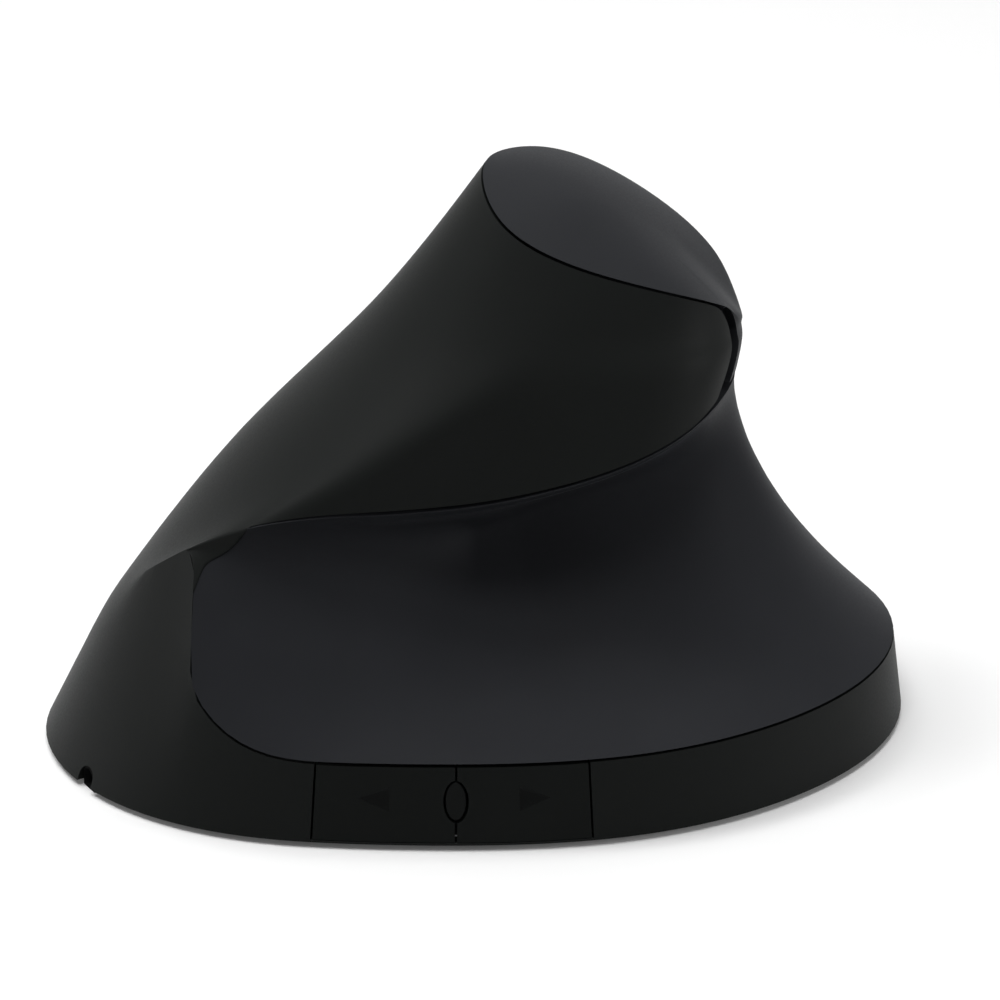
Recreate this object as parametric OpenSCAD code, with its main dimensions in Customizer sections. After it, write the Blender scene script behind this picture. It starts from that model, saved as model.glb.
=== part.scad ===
// Vertical ergonomic mouse for the right hand, in millimetres.
// +Z is up, the nose with the cable inlet points to -X, the thumb side faces -Y and the fingers lie on +Y.
// The origin is the middle of the footprint, on the surface that the mouse stands on.

/* [Body] */
// Length of the footprint, nose to tail
body_length = 120; // [116:0.2:126]
// Width of the footprint, thumb side to finger side
body_width = 76.6; // [75:0.2:82]
// Height of the crown above the underside of the shell
body_height = 80; // [78:0.5:86]
// Height of the flange edge that the saddle lies on
flange_height = 12.3; // [11.8:0.1:13.5]
// How far the rim leans in from its foot to the flange edge
rim_draft = 1.5; // [1:0.1:2]
// How far the cap is crowned above its edge
cap_rise = 4; // [2:0.5:5]

/* [Shell] */
// Wall of the main shell, palm shell and finger buttons
wall = 2; // [1.6:0.1:2.2]
// Wall of the saddle and the cap
lid_wall = 1.5; // [1.2:0.1:1.8]
// Gap at a seam between two fixed shells
seam = 0.3; // [0.25:0.05:0.5]
// Groove round the end of the thumb panel
tongue_groove = 2.4; // [2:0.1:2.8]
// Gap round a part that is pressed
key_gap = 0.4; // [0.35:0.05:0.5]
// Gap between the lower finger button and the ledge below it
ledge_gap = 0.95; // [0.8:0.05:1.1]

/* [Base] */
// How far the glide feet stand below the base plate
foot_stand = 0.7; // [0.5:0.1:0.8]
// Depth of the pockets that the glide feet are glued into
foot_pocket = 0.3; // [0.2:0.1:0.5]
// Width of a glide foot
foot_width = 7; // [5:0.5:8]
// Thickness of the base plate
plate_thick = 2.2; // [2:0.1:2.6]
// Gap between the base plate and the shell round it
plate_gap = 0.3; // [0.2:0.05:0.5]
// Radius of a screw shank
screw_r = 1; // [0.8:0.05:1.1]
// Radius of a screw head
screw_head_r = 2.1; // [1.8:0.1:2.3]
// Height of a screw head
screw_head_h = 1.2; // [1:0.1:1.4]
// Clearance round a screw shank
screw_gap = 0.1; // [0.05:0.05:0.2]
// Radius of a screw boss
boss_r = 3; // [2.7:0.1:3.3]
// Bore of the cable inlet
inlet_r = 1.6; // [1.4:0.1:1.8]
// Wall of the rubber grommet in the cable inlet
grommet_wall = 0.7; // [0.6:0.1:0.9]
// Length of the grommet
grommet_length = 7; // [5:0.5:8]
// Gap between the grommet and the walls it passes
grommet_gap = 0.15; // [0.1:0.05:0.2]

/* [Wheel] */
// Radius of the scroll wheel over its tyre
wheel_r = 11.5; // [10.5:0.25:12]
// Width of the scroll wheel
wheel_width = 6; // [5:0.25:6.5]
// How far the wheel stands out of the finger side
wheel_stand = 3.5; // [2.5:0.25:4]
// Thickness of the rubber tyre
tyre_thick = 1.8; // [1.4:0.1:2.4]
// Radius of the wheel's axle
axle_r = 1.5; // [1.2:0.1:1.8]
// Radius of the hinge pins
pin_r = 1; // [0.8:0.05:1.2]
// Running clearance of a shaft in its bore, on the radius
running = 0.06; // [0.04:0.01:0.1]
// Gap between the wheel and the slot or yoke beside it
wheel_gap = 0.6; // [0.5:0.1:0.8]
// Thickness of the yoke's ears and web
yoke_thick = 2; // [1.6:0.1:2.2]

/* [Keys] */
// Width of the oval indicator between the two speed keys
lens_width = 2.8; // [2.4:0.1:3.2]
// Height of the oval indicator
lens_height = 5.4; // [4.6:0.1:5.8]
// Press travel that the speed keys leave room for
key_travel = 0.5; // [0.4:0.05:0.6]
// Contact gap between a pressed part and the switch under it
touch_gap = 0.1; // [0.05:0.05:0.15]

/* [Inside] */
// Thickness of the circuit boards
board_thick = 1.4; // [1.2:0.1:1.6]
// Height of the posts that carry the main board
board_post = 2.2; // [2:0.1:2.4]
// Depth of the button board's face below the finger side
board_depth = 24; // [23:0.5:25]
// Height of a snap switch body
switch_height = 6.5; // [6:0.1:6.8]
// Length of a snap switch body
switch_length = 12.8; // [12:0.1:13.2]
// Width of a snap switch body
switch_width = 5.8; // [5.4:0.1:6]
// How far a switch plunger stands out at rest
plunger_stand = 1; // [0.9:0.05:1.2]
// Height of a right-angle key switch on the main board
tact_height = 4.4; // [4:0.1:4.8]
// Thickness of the inner frame
frame_thick = 2; // [1.8:0.1:2.4]
// Radius of the knuckle round a hinge pin
knuckle_r = 2.3; // [2.1:0.1:2.6]

/* [Hidden] */
$fn = 48;
eps = 0.01;

// Heights of the base
plate_z = foot_stand;
plate_top = plate_z + plate_thick;
shell_lift = 0.2;
shell_z = plate_z + shell_lift;
board_z = plate_top + board_post;
board_top = board_z + board_thick;

// The body is drawn as rings seen from above, given at the twelve hours of a clock:
// hour 0 is the tail, 3 the finger side, 6 the nose and 9 the thumb side.
// Each ring has a centre, a reach at every hour and a height at every hour, at the drawn size.
drawn_length = 120;
drawn_width = 76.6;
drawn_height = 80;
grow = [body_length / drawn_length, body_width / drawn_width, body_height / drawn_height];
foot_ring = [[-0.3, 0], [63.5, 56, 40.5, 37, 41, 53, 63, 54, 40, 37, 41.3, 50.6], []];
fin_ring = [[-2.3, 0], [38.5, 37, 31, 27, 30, 44, 52, 38.5, 21.5, 19, 22, 34],
    [55.5, 41, 23, 16, 15, 15.5, 16.5, 43, 41.5, 42, 44, 49.5]];
waist_ring = [[8.7, 1], [27.5, 28, 26.5, 24.5, 28, 36.5, 46.5, 37.5, 21.5, 18, 20, 26.5],
    [57.5, 53.5, 47, 44.5, 43, 41.5, 39, 46.5, 55, 58, 58.5, 58.5]];
brow_ring = [[14.7, 2], [21, 22.5, 21.5, 20, 22.5, 26, 28.5, 26, 19.5, 16.5, 18, 21.5],
    [58, 58.5, 58, 60, 61, 62, 62, 61.5, 63.5, 64.5, 63, 60.5]];
crown_ring = [[19.7, 3], [16, 17, 16.5, 15.5, 16.5, 18, 18.5, 19.5, 16.5, 15, 16.5, 17],
    [58, 63.5, 69, 74.5, 78.5, 80, 81, 76, 72.5, 70, 67.5, 63]];
shelf_ring = [[3.7, 1], [45.5, 44.5, 35.5, 31.5, 35.5, 40.5, 42, 32, 21.5, 20, 22, 33.5],
    [23.5, 21.5, 16.5, 15.2, 15, 15, 14.5, 26, 20, 20, 21.5, 22.5]];
neck_ring = [[1.7, 1], [39.5, 33.5, 30, 28, 31, 37, 44, 20, 11.5, 10, 11.5, 21],
    [43, 31.5, 18, 16, 15, 15, 15, 35, 33, 33.5, 37, 41]];

// Hours of the seams
scoop_start = 6.75;
scoop_end = 17;
saddle_first = 6.83;
saddle_last = 16.75;
scoop_rise = 1.2;
button_front = 5.2;
button_rear = 2.6;
key_first = 7.86;
key_middle = 8.75;
key_last = 9.65;
tongue_hour = 11.38;
// Shares of the finger side's height where the wheel bezel starts and ends
bezel_low = 0.41;
bezel_high = 0.59;

// Small tools for curves
function clamp(x) = max(0, min(1, x));
function ease(x) = let(c = clamp(x)) c * c * (3 - 2 * c);
function mix(a, b, w) = a * (1 - w) + b * w;
function span(a, b, n) = [for (i = [0:n - 1]) a + (b - a) * i / n];
function steps(a, b, n) = [for (i = [0:n]) a + (b - a) * i / n];
function unit(v) = v / norm(v);

// A smooth closed curve through twelve hourly values
function by_hour(v, hour) = let(i = floor(hour), f = hour - i) (
    pow(1 - f, 3) * v[(i + 11) % 12] + (3 * pow(f, 3) - 6 * f * f + 4) * v[i % 12]
    + (3 * f + 3 * f * f - 3 * pow(f, 3) + 1) * v[(i + 1) % 12] + pow(f, 3) * v[(i + 2) % 12]) / 6;
function ring(r, hour) = let(a = 30 * hour, reach = by_hour(r[1], hour))
    [grow.x * (r[0].x + reach * cos(a)), grow.y * (r[0].y + reach * sin(a)), grow.z * by_hour(r[2], hour)];

// A smooth curve through four points, which may be held to a pull at its end
function hermite(a, b, ta, tb, s) = (1 + 2 * s) * pow(1 - s, 2) * a + s * pow(1 - s, 2) * ta
    + s * s * (3 - 2 * s) * b + s * s * (s - 1) * tb;
function through(p, q, pull = [0, 0, 0], hold = 0) = let(
    d = [for (i = [0:2]) sqrt(norm(p[i + 1] - p[i]))],
    total = d[0] + d[1] + d[2],
    k = [0, d[0] / total, (d[0] + d[1]) / total, 1],
    g = [for (i = [0:2]) k[i + 1] - k[i]],
    slope = [for (i = [0:2]) (p[i + 1] - p[i]) / g[i]],
    t1 = (slope[0] * g[1] + slope[1] * g[0]) / (g[0] + g[1]),
    t2 = (slope[1] * g[2] + slope[2] * g[1]) / (g[1] + g[2]),
    t = [1.5 * slope[0] - 0.5 * t1, t1, t2, mix(1.5 * slope[2] - 0.5 * t2, pull / g[2], hold)],
    i = q < k[1] ? 0 : q < k[2] ? 1 : 2
) hermite(p[i], p[i + 1], t[i] * g[i], t[i + 1] * g[i], (q - k[i]) / g[i]);

// Hours over which the ledge under the little finger narrows to nothing
ledge_taper = 1.5;
// Hours over which the rim leaves the fin where the scoop starts
scoop_blend = 0.4;
// Outer wall: its foot, a point of the rim at a height, and its upper edge
front_lean = 0.42;
function rim_inset(z) = rim_draft * (min(z, flange_height) - shell_z) / (flange_height - shell_z)
    + front_lean * max(0, z - flange_height);
function rim(hour, z) = let(a = 30 * hour, reach = by_hour(foot_ring[1], hour))
    [grow.x * (foot_ring[0].x + reach * cos(a)) - rim_inset(z) * cos(a),
     grow.y * (foot_ring[0].y + reach * sin(a)) - rim_inset(z) * sin(a), z];
function edge(hour) = let(
    h = hour % 12,
    scoop = h - scoop_start,
    top = ring(fin_ring, scoop_start).z,
    rise = h < 6 ? 0 : pow(clamp(1 - scoop / scoop_rise), 3),
    front = h < 6 ? ease((h - scoop_end + 12 + ledge_taper) / ledge_taper) : 1 - ease(scoop / scoop_blend)
) mix(rim(hour, mix(flange_height, top, rise)), ring(fin_ring, hour), front);
function side_wall(hour, q) = mix(rim(hour, shell_z), edge(hour), q);

// The fin that the hand holds, from its foot to the crown, by hour and share of its height
function fin(hour, q) =
    through([ring(fin_ring, hour), ring(waist_ring, hour), ring(brow_ring, hour), ring(crown_ring, hour)], q);

// The scoop for thumb and palm, from the flange edge to a lip flush with the foot of the fin
lip_level = -0.016;
// At its lip the scoop runs in line with the fin, from hour lip_hold on towards the tail
lip_pull = 0.5;
lip_step = 0.02;
lip_hold = 7.2;
lip_hold_hours = 0.8;
ledge_ramp = 16.2;
ramp_hours = 1.5;
shelf_hours = 2.8;
neck_hours = 1.8;
shelf_level = 0.35;
neck_level = 0.8;
function surface_normal(s, hour, q) =
    unit(cross(s(hour + 0.02, q) - s(hour - 0.02, q), s(hour, q + 0.02) - s(hour, q - 0.02)));
function lip(hour) = fin(hour, lip_level);
function scoop(hour, q) = let(
    e = edge(hour),
    l = lip(hour),
    closing = ease((ledge_ramp - hour) / ramp_hours),
    shelf_share = ease((hour - scoop_start) / shelf_hours) * closing,
    neck_share = ease((hour - scoop_start) / neck_hours) * closing,
    s = mix(mix(e, l, shelf_level), ring(shelf_ring, hour), shelf_share),
    n = mix(mix(e, l, neck_level), ring(neck_ring, hour), neck_share)
) through([e, s, n, l], q, lip_pull * norm(l - n) * unit(fin(hour, lip_step) - fin(hour, -lip_step)),
    ease((hour - lip_hold) / lip_hold_hours));

// Parameter steps that cover a distance in millimetres along a surface
function hour_step(s, hour, q, mm) = mm * 0.05 / norm(s(hour + 0.05, q) - s(hour, q));
function share_step(s, hour, q, mm) = mm * 0.02 / norm(s(hour, q > 0.5 ? q - 0.02 : q + 0.02) - s(hour, q));
lid_slack = 0.1;
lid_gap = seam + lid_slack;
// Under the flat ledge on the finger side the wall stops lower, by the thickness of the saddle
drop_start = 1.6;
drop_hours = 1.2;
drop_end = 5;
drop_fade = 0.5;
function ledge_drop(hour) = let(h = hour % 12)
    lid_wall * ease((h - drop_start) / drop_hours) * (1 - ease((h - drop_end) / drop_fade));
function wall_top(hour) = let(s = function (h, q) side_wall(h, q))
    1 - share_step(s, hour, 1, lid_gap + ledge_drop(hour));
function fin_top(hour) = 1 - share_step(function (h, q) fin(h, q), hour, 1, lid_gap);

// Seam at the rear of the finger buttons, and at the round end of the thumb panel
rear_sweep = 0.6;
function rear_seam(q) = button_rear - rear_sweep * clamp(1 - 2 * q);
tongue_low = 0.06;
tongue_high = 0.18;
tongue_round_low = 0.3;
tongue_round_high = 0.95;
function arc_drop(x) = 1 - sqrt(1 - pow(clamp(x), 2));
function tongue_seam(q) = tongue_hour - tongue_round_low * arc_drop(1 - q / tongue_low)
    - tongue_round_high * arc_drop((q - tongue_high) / (1 - tongue_high));

// Frame of the finger side: x runs to the tail, y down the face and z out of it
deck_yaw = 10;
deck_lean = 16;
deck_origin = fin(4, (bezel_low + bezel_high) / 2);
deck_x = [cos(deck_yaw), sin(deck_yaw), 0];
deck_y = [-sin(deck_yaw) * sin(deck_lean), cos(deck_yaw) * sin(deck_lean), -cos(deck_lean)];
deck_z = [-sin(deck_yaw) * cos(deck_lean), cos(deck_yaw) * cos(deck_lean), sin(deck_lean)];
function to_deck(p) = let(d = p - deck_origin) [d * deck_x, d * deck_y, d * deck_z];
function from_deck(p) = deck_origin + p.x * deck_x + p.y * deck_y + p.z * deck_z;
module on_deck() {
    translate(deck_origin) rotate([deck_lean - 90, 0, deck_yaw]) children();
}

// Thick skins: a grid of outer points, the same grid moved inwards, and walls round the kept cells
function grid_normal(g, i, j, wrap) = let(n = len(g[0]), m = len(g))
    unit(cross(g[j][wrap ? (i + 1) % n : min(i + 1, n - 1)] - g[j][wrap ? (i + n - 1) % n : max(i - 1, 0)],
        g[min(j + 1, m - 1)][i] - g[max(j - 1, 0)][i]));
function inward(g, thick, wrap) =
    [for (j = [0:len(g) - 1]) [for (i = [0:len(g[0]) - 1]) g[j][i] - thick * grid_normal(g, i, j, wrap)]];
function lid_inward(g, thick, wrap, first) = let(below = inward(g, thick, wrap))
    concat([first], [for (j = [1:len(g) - 1]) below[j]]);
function flat(g) = [for (row = g) each row];
function skin_faces(n, m, wrap, keep) = let(
    half = n * m,
    cols = wrap ? n : n - 1,
    on = function (i, j) j < 0 || j >= m - 1 || (!wrap && (i < 0 || i >= cols)) ? false : keep((i + n) % n, j)
) [for (j = [0:m - 2]) for (i = [0:cols - 1]) if (keep(i, j)) let(
    a = j * n + i,
    b = j * n + (i + 1) % n,
    c = b + n,
    d = a + n
) each concat(
    [[a, d, c], [a, c, b], [a + half, c + half, d + half], [a + half, b + half, c + half]],
    on(i, j - 1) ? [] : [[a, b, b + half], [a, b + half, a + half]],
    on(i + 1, j) ? [] : [[b, c, c + half], [b, c + half, b + half]],
    on(i, j + 1) ? [] : [[c, d, d + half], [c, d + half, c + half]],
    on(i - 1, j) ? [] : [[d, a, a + half], [d, a + half, d + half]]
)];
module skin(outer, inner, wrap = false, keep = function (i, j) true) {
    polyhedron(concat(flat(outer), flat(inner)), skin_faces(len(outer[0]), len(outer), wrap, keep), 4);
}

// A patch of the fin on the finger side, cut square to the finger face so that it can be pressed straight in
function finger_grid(low, high, cols, rows, gap_low, gap_high, gap) = let(s = function (h, q) fin(h, q))
    [for (t = steps(0, 1, rows)) let(q0 = mix(low, high, t)) [for (k = steps(0, 1, cols)) let(
        h = mix(rear_seam(q0) + hour_step(s, rear_seam(q0), q0, gap),
            button_front - hour_step(s, button_front, q0, gap), k),
        top = high < 1 ? high - share_step(s, h, high, gap_high) : fin_top(h) - share_step(s, h, 1, gap_high),
        q = mix(low + share_step(s, h, low, gap_low), top, t)
    ) s(h, q)]];
module finger_patch(low, high, cols, rows, gap_low, gap_high, gap) {
    g = finger_grid(low, high, cols, rows, gap_low, gap_high, gap);
    skin(g, [for (row = g) [for (p = row) p - wall * deck_z]]);
}

// Main shell: side wall all round, and the fin from the nose to the end of the thumb panel
ledge_hour = saddle_last - 12;
main_hours = concat(span(ledge_hour, button_front, 3), span(button_front, saddle_first, 10),
    span(saddle_first, key_first, 11), span(key_first, key_last, 9), span(key_last, tongue_hour, 8),
    span(tongue_hour, saddle_last, 23));
wall_rows = steps(0, 1, 3);
// Rows of the fin lie closer at its foot and crown, where the panel's end is rounded
fin_rows = [for (i = [0:14]) (1 - cos(180 * i / 14)) / 2];
function panel_hour(hour, q) = hour <= key_last || hour > tongue_hour ? hour
    : mix(key_last, tongue_seam(q), (hour - key_last) / (tongue_hour - key_last));
main_grid = concat(
    [for (q = wall_rows) [for (h = main_hours) side_wall(h, q * wall_top(h))]],
    [for (q = fin_rows) [for (h = main_hours) let(k = panel_hour(h, q)) fin(k, q * fin_top(k))]]);
function cell_hour(i) = let(n = len(main_hours)) i < n - 1 ? (main_hours[i] + main_hours[i + 1]) / 2
    : (main_hours[i] + saddle_last) / 2;
function main_cell(i, j) = let(h = cell_hour(i), m = len(wall_rows))
    j < m - 1 ? h < key_first || h > key_last
    : j == m - 1 ? h < saddle_first
    : h > button_front && h < tongue_hour;
// Beside the finger buttons the wall is cut in their press direction
press_blend = 0.6;
// The foot of the panel is cut like the lip of the saddle under it
lip_share = 0.97;
function main_inner() = let(g = main_grid, m = len(wall_rows))
    [for (j = [0:len(g) - 1]) [for (i = [0:len(g[0]) - 1]) let(
        low_row = j < m && main_hours[i] > saddle_first,
        high_row = j == m && main_hours[i] > saddle_first,
        rows = low_row ? [for (r = [0:m - 1]) g[r]] : high_row ? [for (r = [m:len(g) - 1]) g[r]] : g,
        on_lip = high_row && main_hours[i] < tongue_hour,
        normal = on_lip ? surface_normal(function (h, q) scoop(h, q), main_hours[i], lip_share)
            : grid_normal(rows, i, high_row ? 0 : j, true),
        press = j < m ? 1 : ease((main_hours[i] - button_front) / press_blend),
        way = j == 0 ? [normal.x, normal.y, 0] : mix(deck_z, normal, press)
    ) g[j][i] - wall * unit(way)]];

// Screw bosses of the main shell stand on the base plate just inside the rim
boss_hours = [1.3, 3.3, 7.5, 10.6];
boss_top = 9;
boss_bite = 1.2;
bore_floor = 1;
screw_tip_room = 0.5;
function boss_place(hour) = let(
    p = side_wall(hour, (boss_top - shell_z) / (edge(hour).z - shell_z)),
    a = 30 * hour
) [p.x, p.y] - (wall + boss_r - boss_bite) * [cos(a), sin(a)];

// Cable inlet at the foot of the nose, on the thumb side
inlet_hour = 6.6;
inlet_angle = 208;
inlet_lift = 0.1;
inlet_z = shell_z + inlet_r + inlet_lift;
grommet_r = inlet_r + grommet_wall;
grommet_recess = 1.6;
inlet_place = rim(inlet_hour, shell_z);
module at_inlet() {
    translate([inlet_place.x, inlet_place.y, inlet_z]) rotate([0, 0, inlet_angle]) rotate([0, 90, 0])
        children();
}
module inlet_slot(r) {
    reach = 2 * grommet_length;
    at_inlet() translate([0, 0, -reach / 2]) {
        cylinder(r = r, h = reach);
        translate([0, -r, 0]) cube([inlet_z + 1, 2 * r, reach]);
    }
}

module main_shell() {
    color("#1d1f20") difference() {
        union() {
            skin(main_grid, main_inner(), true, function (i, j) main_cell(i, j));
            for (h = boss_hours) translate([boss_place(h).x, boss_place(h).y, plate_top])
                cylinder(r = boss_r, h = boss_top - plate_top);
        }
        for (h = boss_hours) translate([boss_place(h).x, boss_place(h).y, plate_top - eps])
            cylinder(r = screw_r + screw_gap, h = boss_top - plate_top - bore_floor);
        inlet_slot(grommet_r + grommet_gap);
    }
}

// Cap: a crowned lid on the crown ring
cap_sides = 40;
cap_shares = [0, 0.12, 0.3, 0.5, 0.7, 0.86];
cap_low = ring(crown_ring, 0);
cap_high = ring(crown_ring, 6);
cap_thumb = ring(crown_ring, 9);
cap_finger = ring(crown_ring, 3);
cap_middle = (cap_low + cap_high + cap_thumb + cap_finger) / 4;
cap_slope = [(cap_low.z - cap_high.z) / (cap_low.x - cap_high.x),
    (cap_finger.z - cap_thumb.z) / (cap_finger.y - cap_thumb.y)];
function cap_plane(p) = let(d = p - cap_middle) cap_middle.z + cap_slope.x * d.x + cap_slope.y * d.y;
function cap_point(hour, f) = let(c = ring(crown_ring, hour), p = mix(c, cap_middle, f))
    [p.x, p.y, cap_plane(p) + (c.z - cap_plane(c)) * pow(1 - f, 2) + cap_rise * (1 - pow(1 - f, 2))];
module top_cap() {
    n = cap_sides;
    m = len(cap_shares);
    outer = [for (f = cap_shares) [for (i = [0:n - 1]) cap_point(12 * i / n, f)]];
    first = [for (i = [0:n - 1]) let(h = 12 * i / n)
        cap_point(h, 0) - lid_wall * surface_normal(function (h, q) fin(h, q), h + 12, 0.97)];
    inner = lid_inward(outer, lid_wall, true, first);
    peak = cap_point(0, 1);
    points = concat(flat(outer), flat(inner), [peak, peak - [0, 0, lid_wall]]);
    half = n * m;
    last = (m - 1) * n;
    fan = [for (i = [0:n - 1]) let(a = last + i, b = last + (i + 1) % n)
        each [[a, 2 * half, b], [a + half, b + half, 2 * half + 1]]];
    sides = [for (j = [0:m - 2]) for (i = [0:n - 1]) let(
        a = j * n + i,
        b = j * n + (i + 1) % n,
        c = b + n,
        d = a + n
    ) each concat(
        [[a, d, c], [a, c, b], [a + half, c + half, d + half], [a + half, b + half, c + half]],
        j > 0 ? [] : [[a, b, b + half], [a, b + half, a + half]]
    )];
    color("#38393c") polyhedron(points, concat(sides, fan), 4);
}

// Palm shell: the fin from the end of the thumb panel round the tail to the finger buttons
module palm_shell() {
    s = function (h, q) fin(h, q);
    g = [for (q0 = steps(0, 1, 13)) [for (k = steps(0, 1, 16)) let(
        level = mix(share_step(s, tongue_hour, 0, ledge_gap), fin_top(tongue_hour), q0),
        start = tongue_seam(level) + hour_step(s, tongue_seam(level), level, tongue_groove),
        end = 12 + rear_seam(q0) - hour_step(s, rear_seam(q0), q0, seam),
        h = mix(start, end, k),
        low = share_step(s, h, 0, ledge_gap),
        q = mix(low, fin_top(h), q0)
    ) s(h, q)]];
    n = len(g[0]);
    inner = [for (j = [0:len(g) - 1]) [for (i = [0:n - 1])
        g[j][i] - wall * unit(mix(grid_normal(g, i, j, false), deck_z, ease(1 - (n - 1 - i) / 5)))]];
    color("#242628") skin(g, inner);
}

// Saddle: the scoop that carries thumb and palm, lying on the flange edge
saddle_inset = 0.05;
saddle_thumb = 8.4;
saddle_ledge = 15;
saddle_hours = concat(span(saddle_first + saddle_inset, saddle_thumb, 13),
    span(saddle_thumb, saddle_ledge, 30), steps(saddle_ledge, saddle_last - saddle_inset, 8));
saddle_rows = [0, 0.05, 0.14, 0.25, 0.36, 0.47, 0.58, 0.68, 0.76, 0.83, 0.89, 0.95, 1];
// The saddle thins out towards both ends, where it meets the nose in a narrow wedge
thin_share = 0.6;
thin_hours = 0.8;
function saddle_thick(hour) =
    lid_wall * mix(thin_share, 1, ease(min(hour - saddle_first, saddle_last - hour) / thin_hours));
function saddle_inner(g, first) = concat([first], [for (j = [1:len(g) - 1]) [for (i = [0:len(g[0]) - 1])
    g[j][i] - saddle_thick(saddle_hours[i]) * grid_normal(g, i, j, false)]]);
module thumb_saddle() {
    g = [for (q = saddle_rows) [for (h = saddle_hours) scoop(h, q)]];
    first = [for (h = saddle_hours)
        edge(h) - saddle_thick(h) * unit(mix(surface_normal(function (h, q) side_wall(h, q), h, 0.98),
            [0, 0, 1], ledge_drop(h) / lid_wall))];
    color("#2d2e32") skin(g, saddle_inner(g, first));
}

// Finger buttons with a hinge knuckle at the rear and a post over the snap switch
upper_hinge_at = to_deck(fin(2.95, 0.79));
lower_hinge_at = to_deck(fin(2.62, 0.22));
upper_post_at = to_deck(fin(4.05, 0.75));
lower_post_at = to_deck(fin(4.5, 0.25));
knuckle_length = 7;
knuckle_drop = 2.4;
lug_thick = 2.4;
lug_gap = 0.3;
function hinge_axis(at) = [at.x, at.y, at.z - wall - knuckle_r - knuckle_drop];
plunger_top = -board_depth + switch_height + plunger_stand;
post_r = 1.4;
rib_width = 3;
module button_fittings(hinge, post) {
    axis = hinge_axis(hinge);
    translate([axis.x, axis.y + knuckle_length / 2, axis.z]) rotate([90, 0, 0])
        cylinder(r = knuckle_r, h = knuckle_length);
    translate([axis.x - rib_width / 2, axis.y - knuckle_length / 2, axis.z])
        cube([rib_width, knuckle_length, hinge.z - wall / 2 - axis.z]);
    translate([post.x, post.y, plunger_top + touch_gap])
        cylinder(r = post_r, h = post.z - wall / 2 - plunger_top - touch_gap);
}
module hinge_bore(hinge, r, length) {
    axis = hinge_axis(hinge);
    translate([axis.x, axis.y + length / 2, axis.z]) rotate([90, 0, 0]) cylinder(r = r, h = length);
}
module upper_button() {
    color("#202224") difference() {
        union() {
            finger_patch(bezel_high, 1, 16, 10, key_gap, key_gap, key_gap);
            on_deck() button_fittings(upper_hinge_at, upper_post_at);
        }
        on_deck() hinge_bore(upper_hinge_at, pin_r + running, knuckle_length + 1);
    }
}
module lower_button() {
    color("#202224") difference() {
        union() {
            finger_patch(0, bezel_low, 18, 10, ledge_gap, key_gap, key_gap);
            on_deck() button_fittings(lower_hinge_at, lower_post_at);
        }
        on_deck() hinge_bore(lower_hinge_at, pin_r + running, knuckle_length + 1);
    }
}

// Bezel between the finger buttons, with the slot of the scroll wheel
slot_width = wheel_width + 2 * wheel_gap;
slot_sag = 2.8;
slot_reach = 10;
slot_length = 2 * sqrt(pow(wheel_r, 2) - pow(wheel_r - wheel_stand - wall - slot_sag, 2)) + 2 * wheel_gap;
module wheel_bezel() {
    color("#101112") difference() {
        finger_patch(bezel_low, bezel_high, 18, 5, seam, seam, seam);
        on_deck() translate([-slot_length / 2, -slot_width / 2, -slot_reach])
            cube([slot_length, slot_width, 2 * slot_reach]);
    }
}

// Speed keys in the rim on the thumb side, and the oval indicator between them
key_z = 7;
function key_end(hour) = hour == key_middle ? key_gap / 2 : key_gap;
function key_grid(first, last) = let(s = function (h, q) side_wall(h, q))
    [for (t = steps(0, 1, 4)) [for (k = steps(0, 1, 8)) let(
        from = first + hour_step(s, first, 0.5, key_end(first)),
        to = last - hour_step(s, last, 0.5, key_end(last)),
        h = mix(from, to, k),
        high = wall_top(h) - share_step(s, h, 0.8, key_gap / 2)
    ) s(h, high * t)]];
function oval(w, h, n) = [for (i = [0:n - 1]) [w / 2 * cos(360 * i / n), h / 2 * sin(360 * i / n)]];
lens_place = side_wall(key_middle, 0.5);
module lens_prism(grow_by, front, back) {
    translate([lens_place.x, back, key_z]) rotate([90, 0, 0])
        linear_extrude(back - front) polygon(oval(lens_width + 2 * grow_by, lens_height + 2 * grow_by, 32));
}
stem_width = 3;
stem_height = 2.4;
// Depth behind a pressed key for its stem and the plunger that the stem pushes
stem_room = 2.2;
tact_face = lens_place.y + wall + key_travel + stem_room;
tact_stand = plunger_stand;
tact_axis_z = board_top + tact_height / 2;
function key_x(first, last) = side_wall((first + last) / 2, 0.5).x;
function key_y(first, last) = side_wall((first + last) / 2, 0.5).y;
module speed_key(first, last) {
    g = key_grid(first, last);
    stem_back = tact_face - tact_stand - touch_gap;
    stem_front = key_y(first, last) + wall / 2;
    difference() {
        union() {
            skin(g, inward(g, wall, false));
            translate([key_x(first, last) - stem_width / 2, stem_front, tact_axis_z - stem_height / 2])
                cube([stem_width, stem_back - stem_front, stem_height]);
        }
        lens_prism(key_gap, lens_place.y - 2 * wall, lens_place.y + 2 * wall);
    }
}
module speed_down_key() {
    color("#1d1f20") speed_key(key_first, key_middle);
}
module speed_up_key() {
    color("#1d1f20") speed_key(key_middle, key_last);
}
led_size = [3, 2, 2.6];
led_setback = 0.4;
led_face = tact_face + led_setback;
lens_setback = 0.1;
module indicator_lens() {
    color("#3a3d40") lens_prism(0, lens_place.y + lens_setback, led_face - touch_gap);
}

// Base plate inside the foot of the shell
plate_slack = 0.2;
relief_hours = 0.15;
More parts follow.
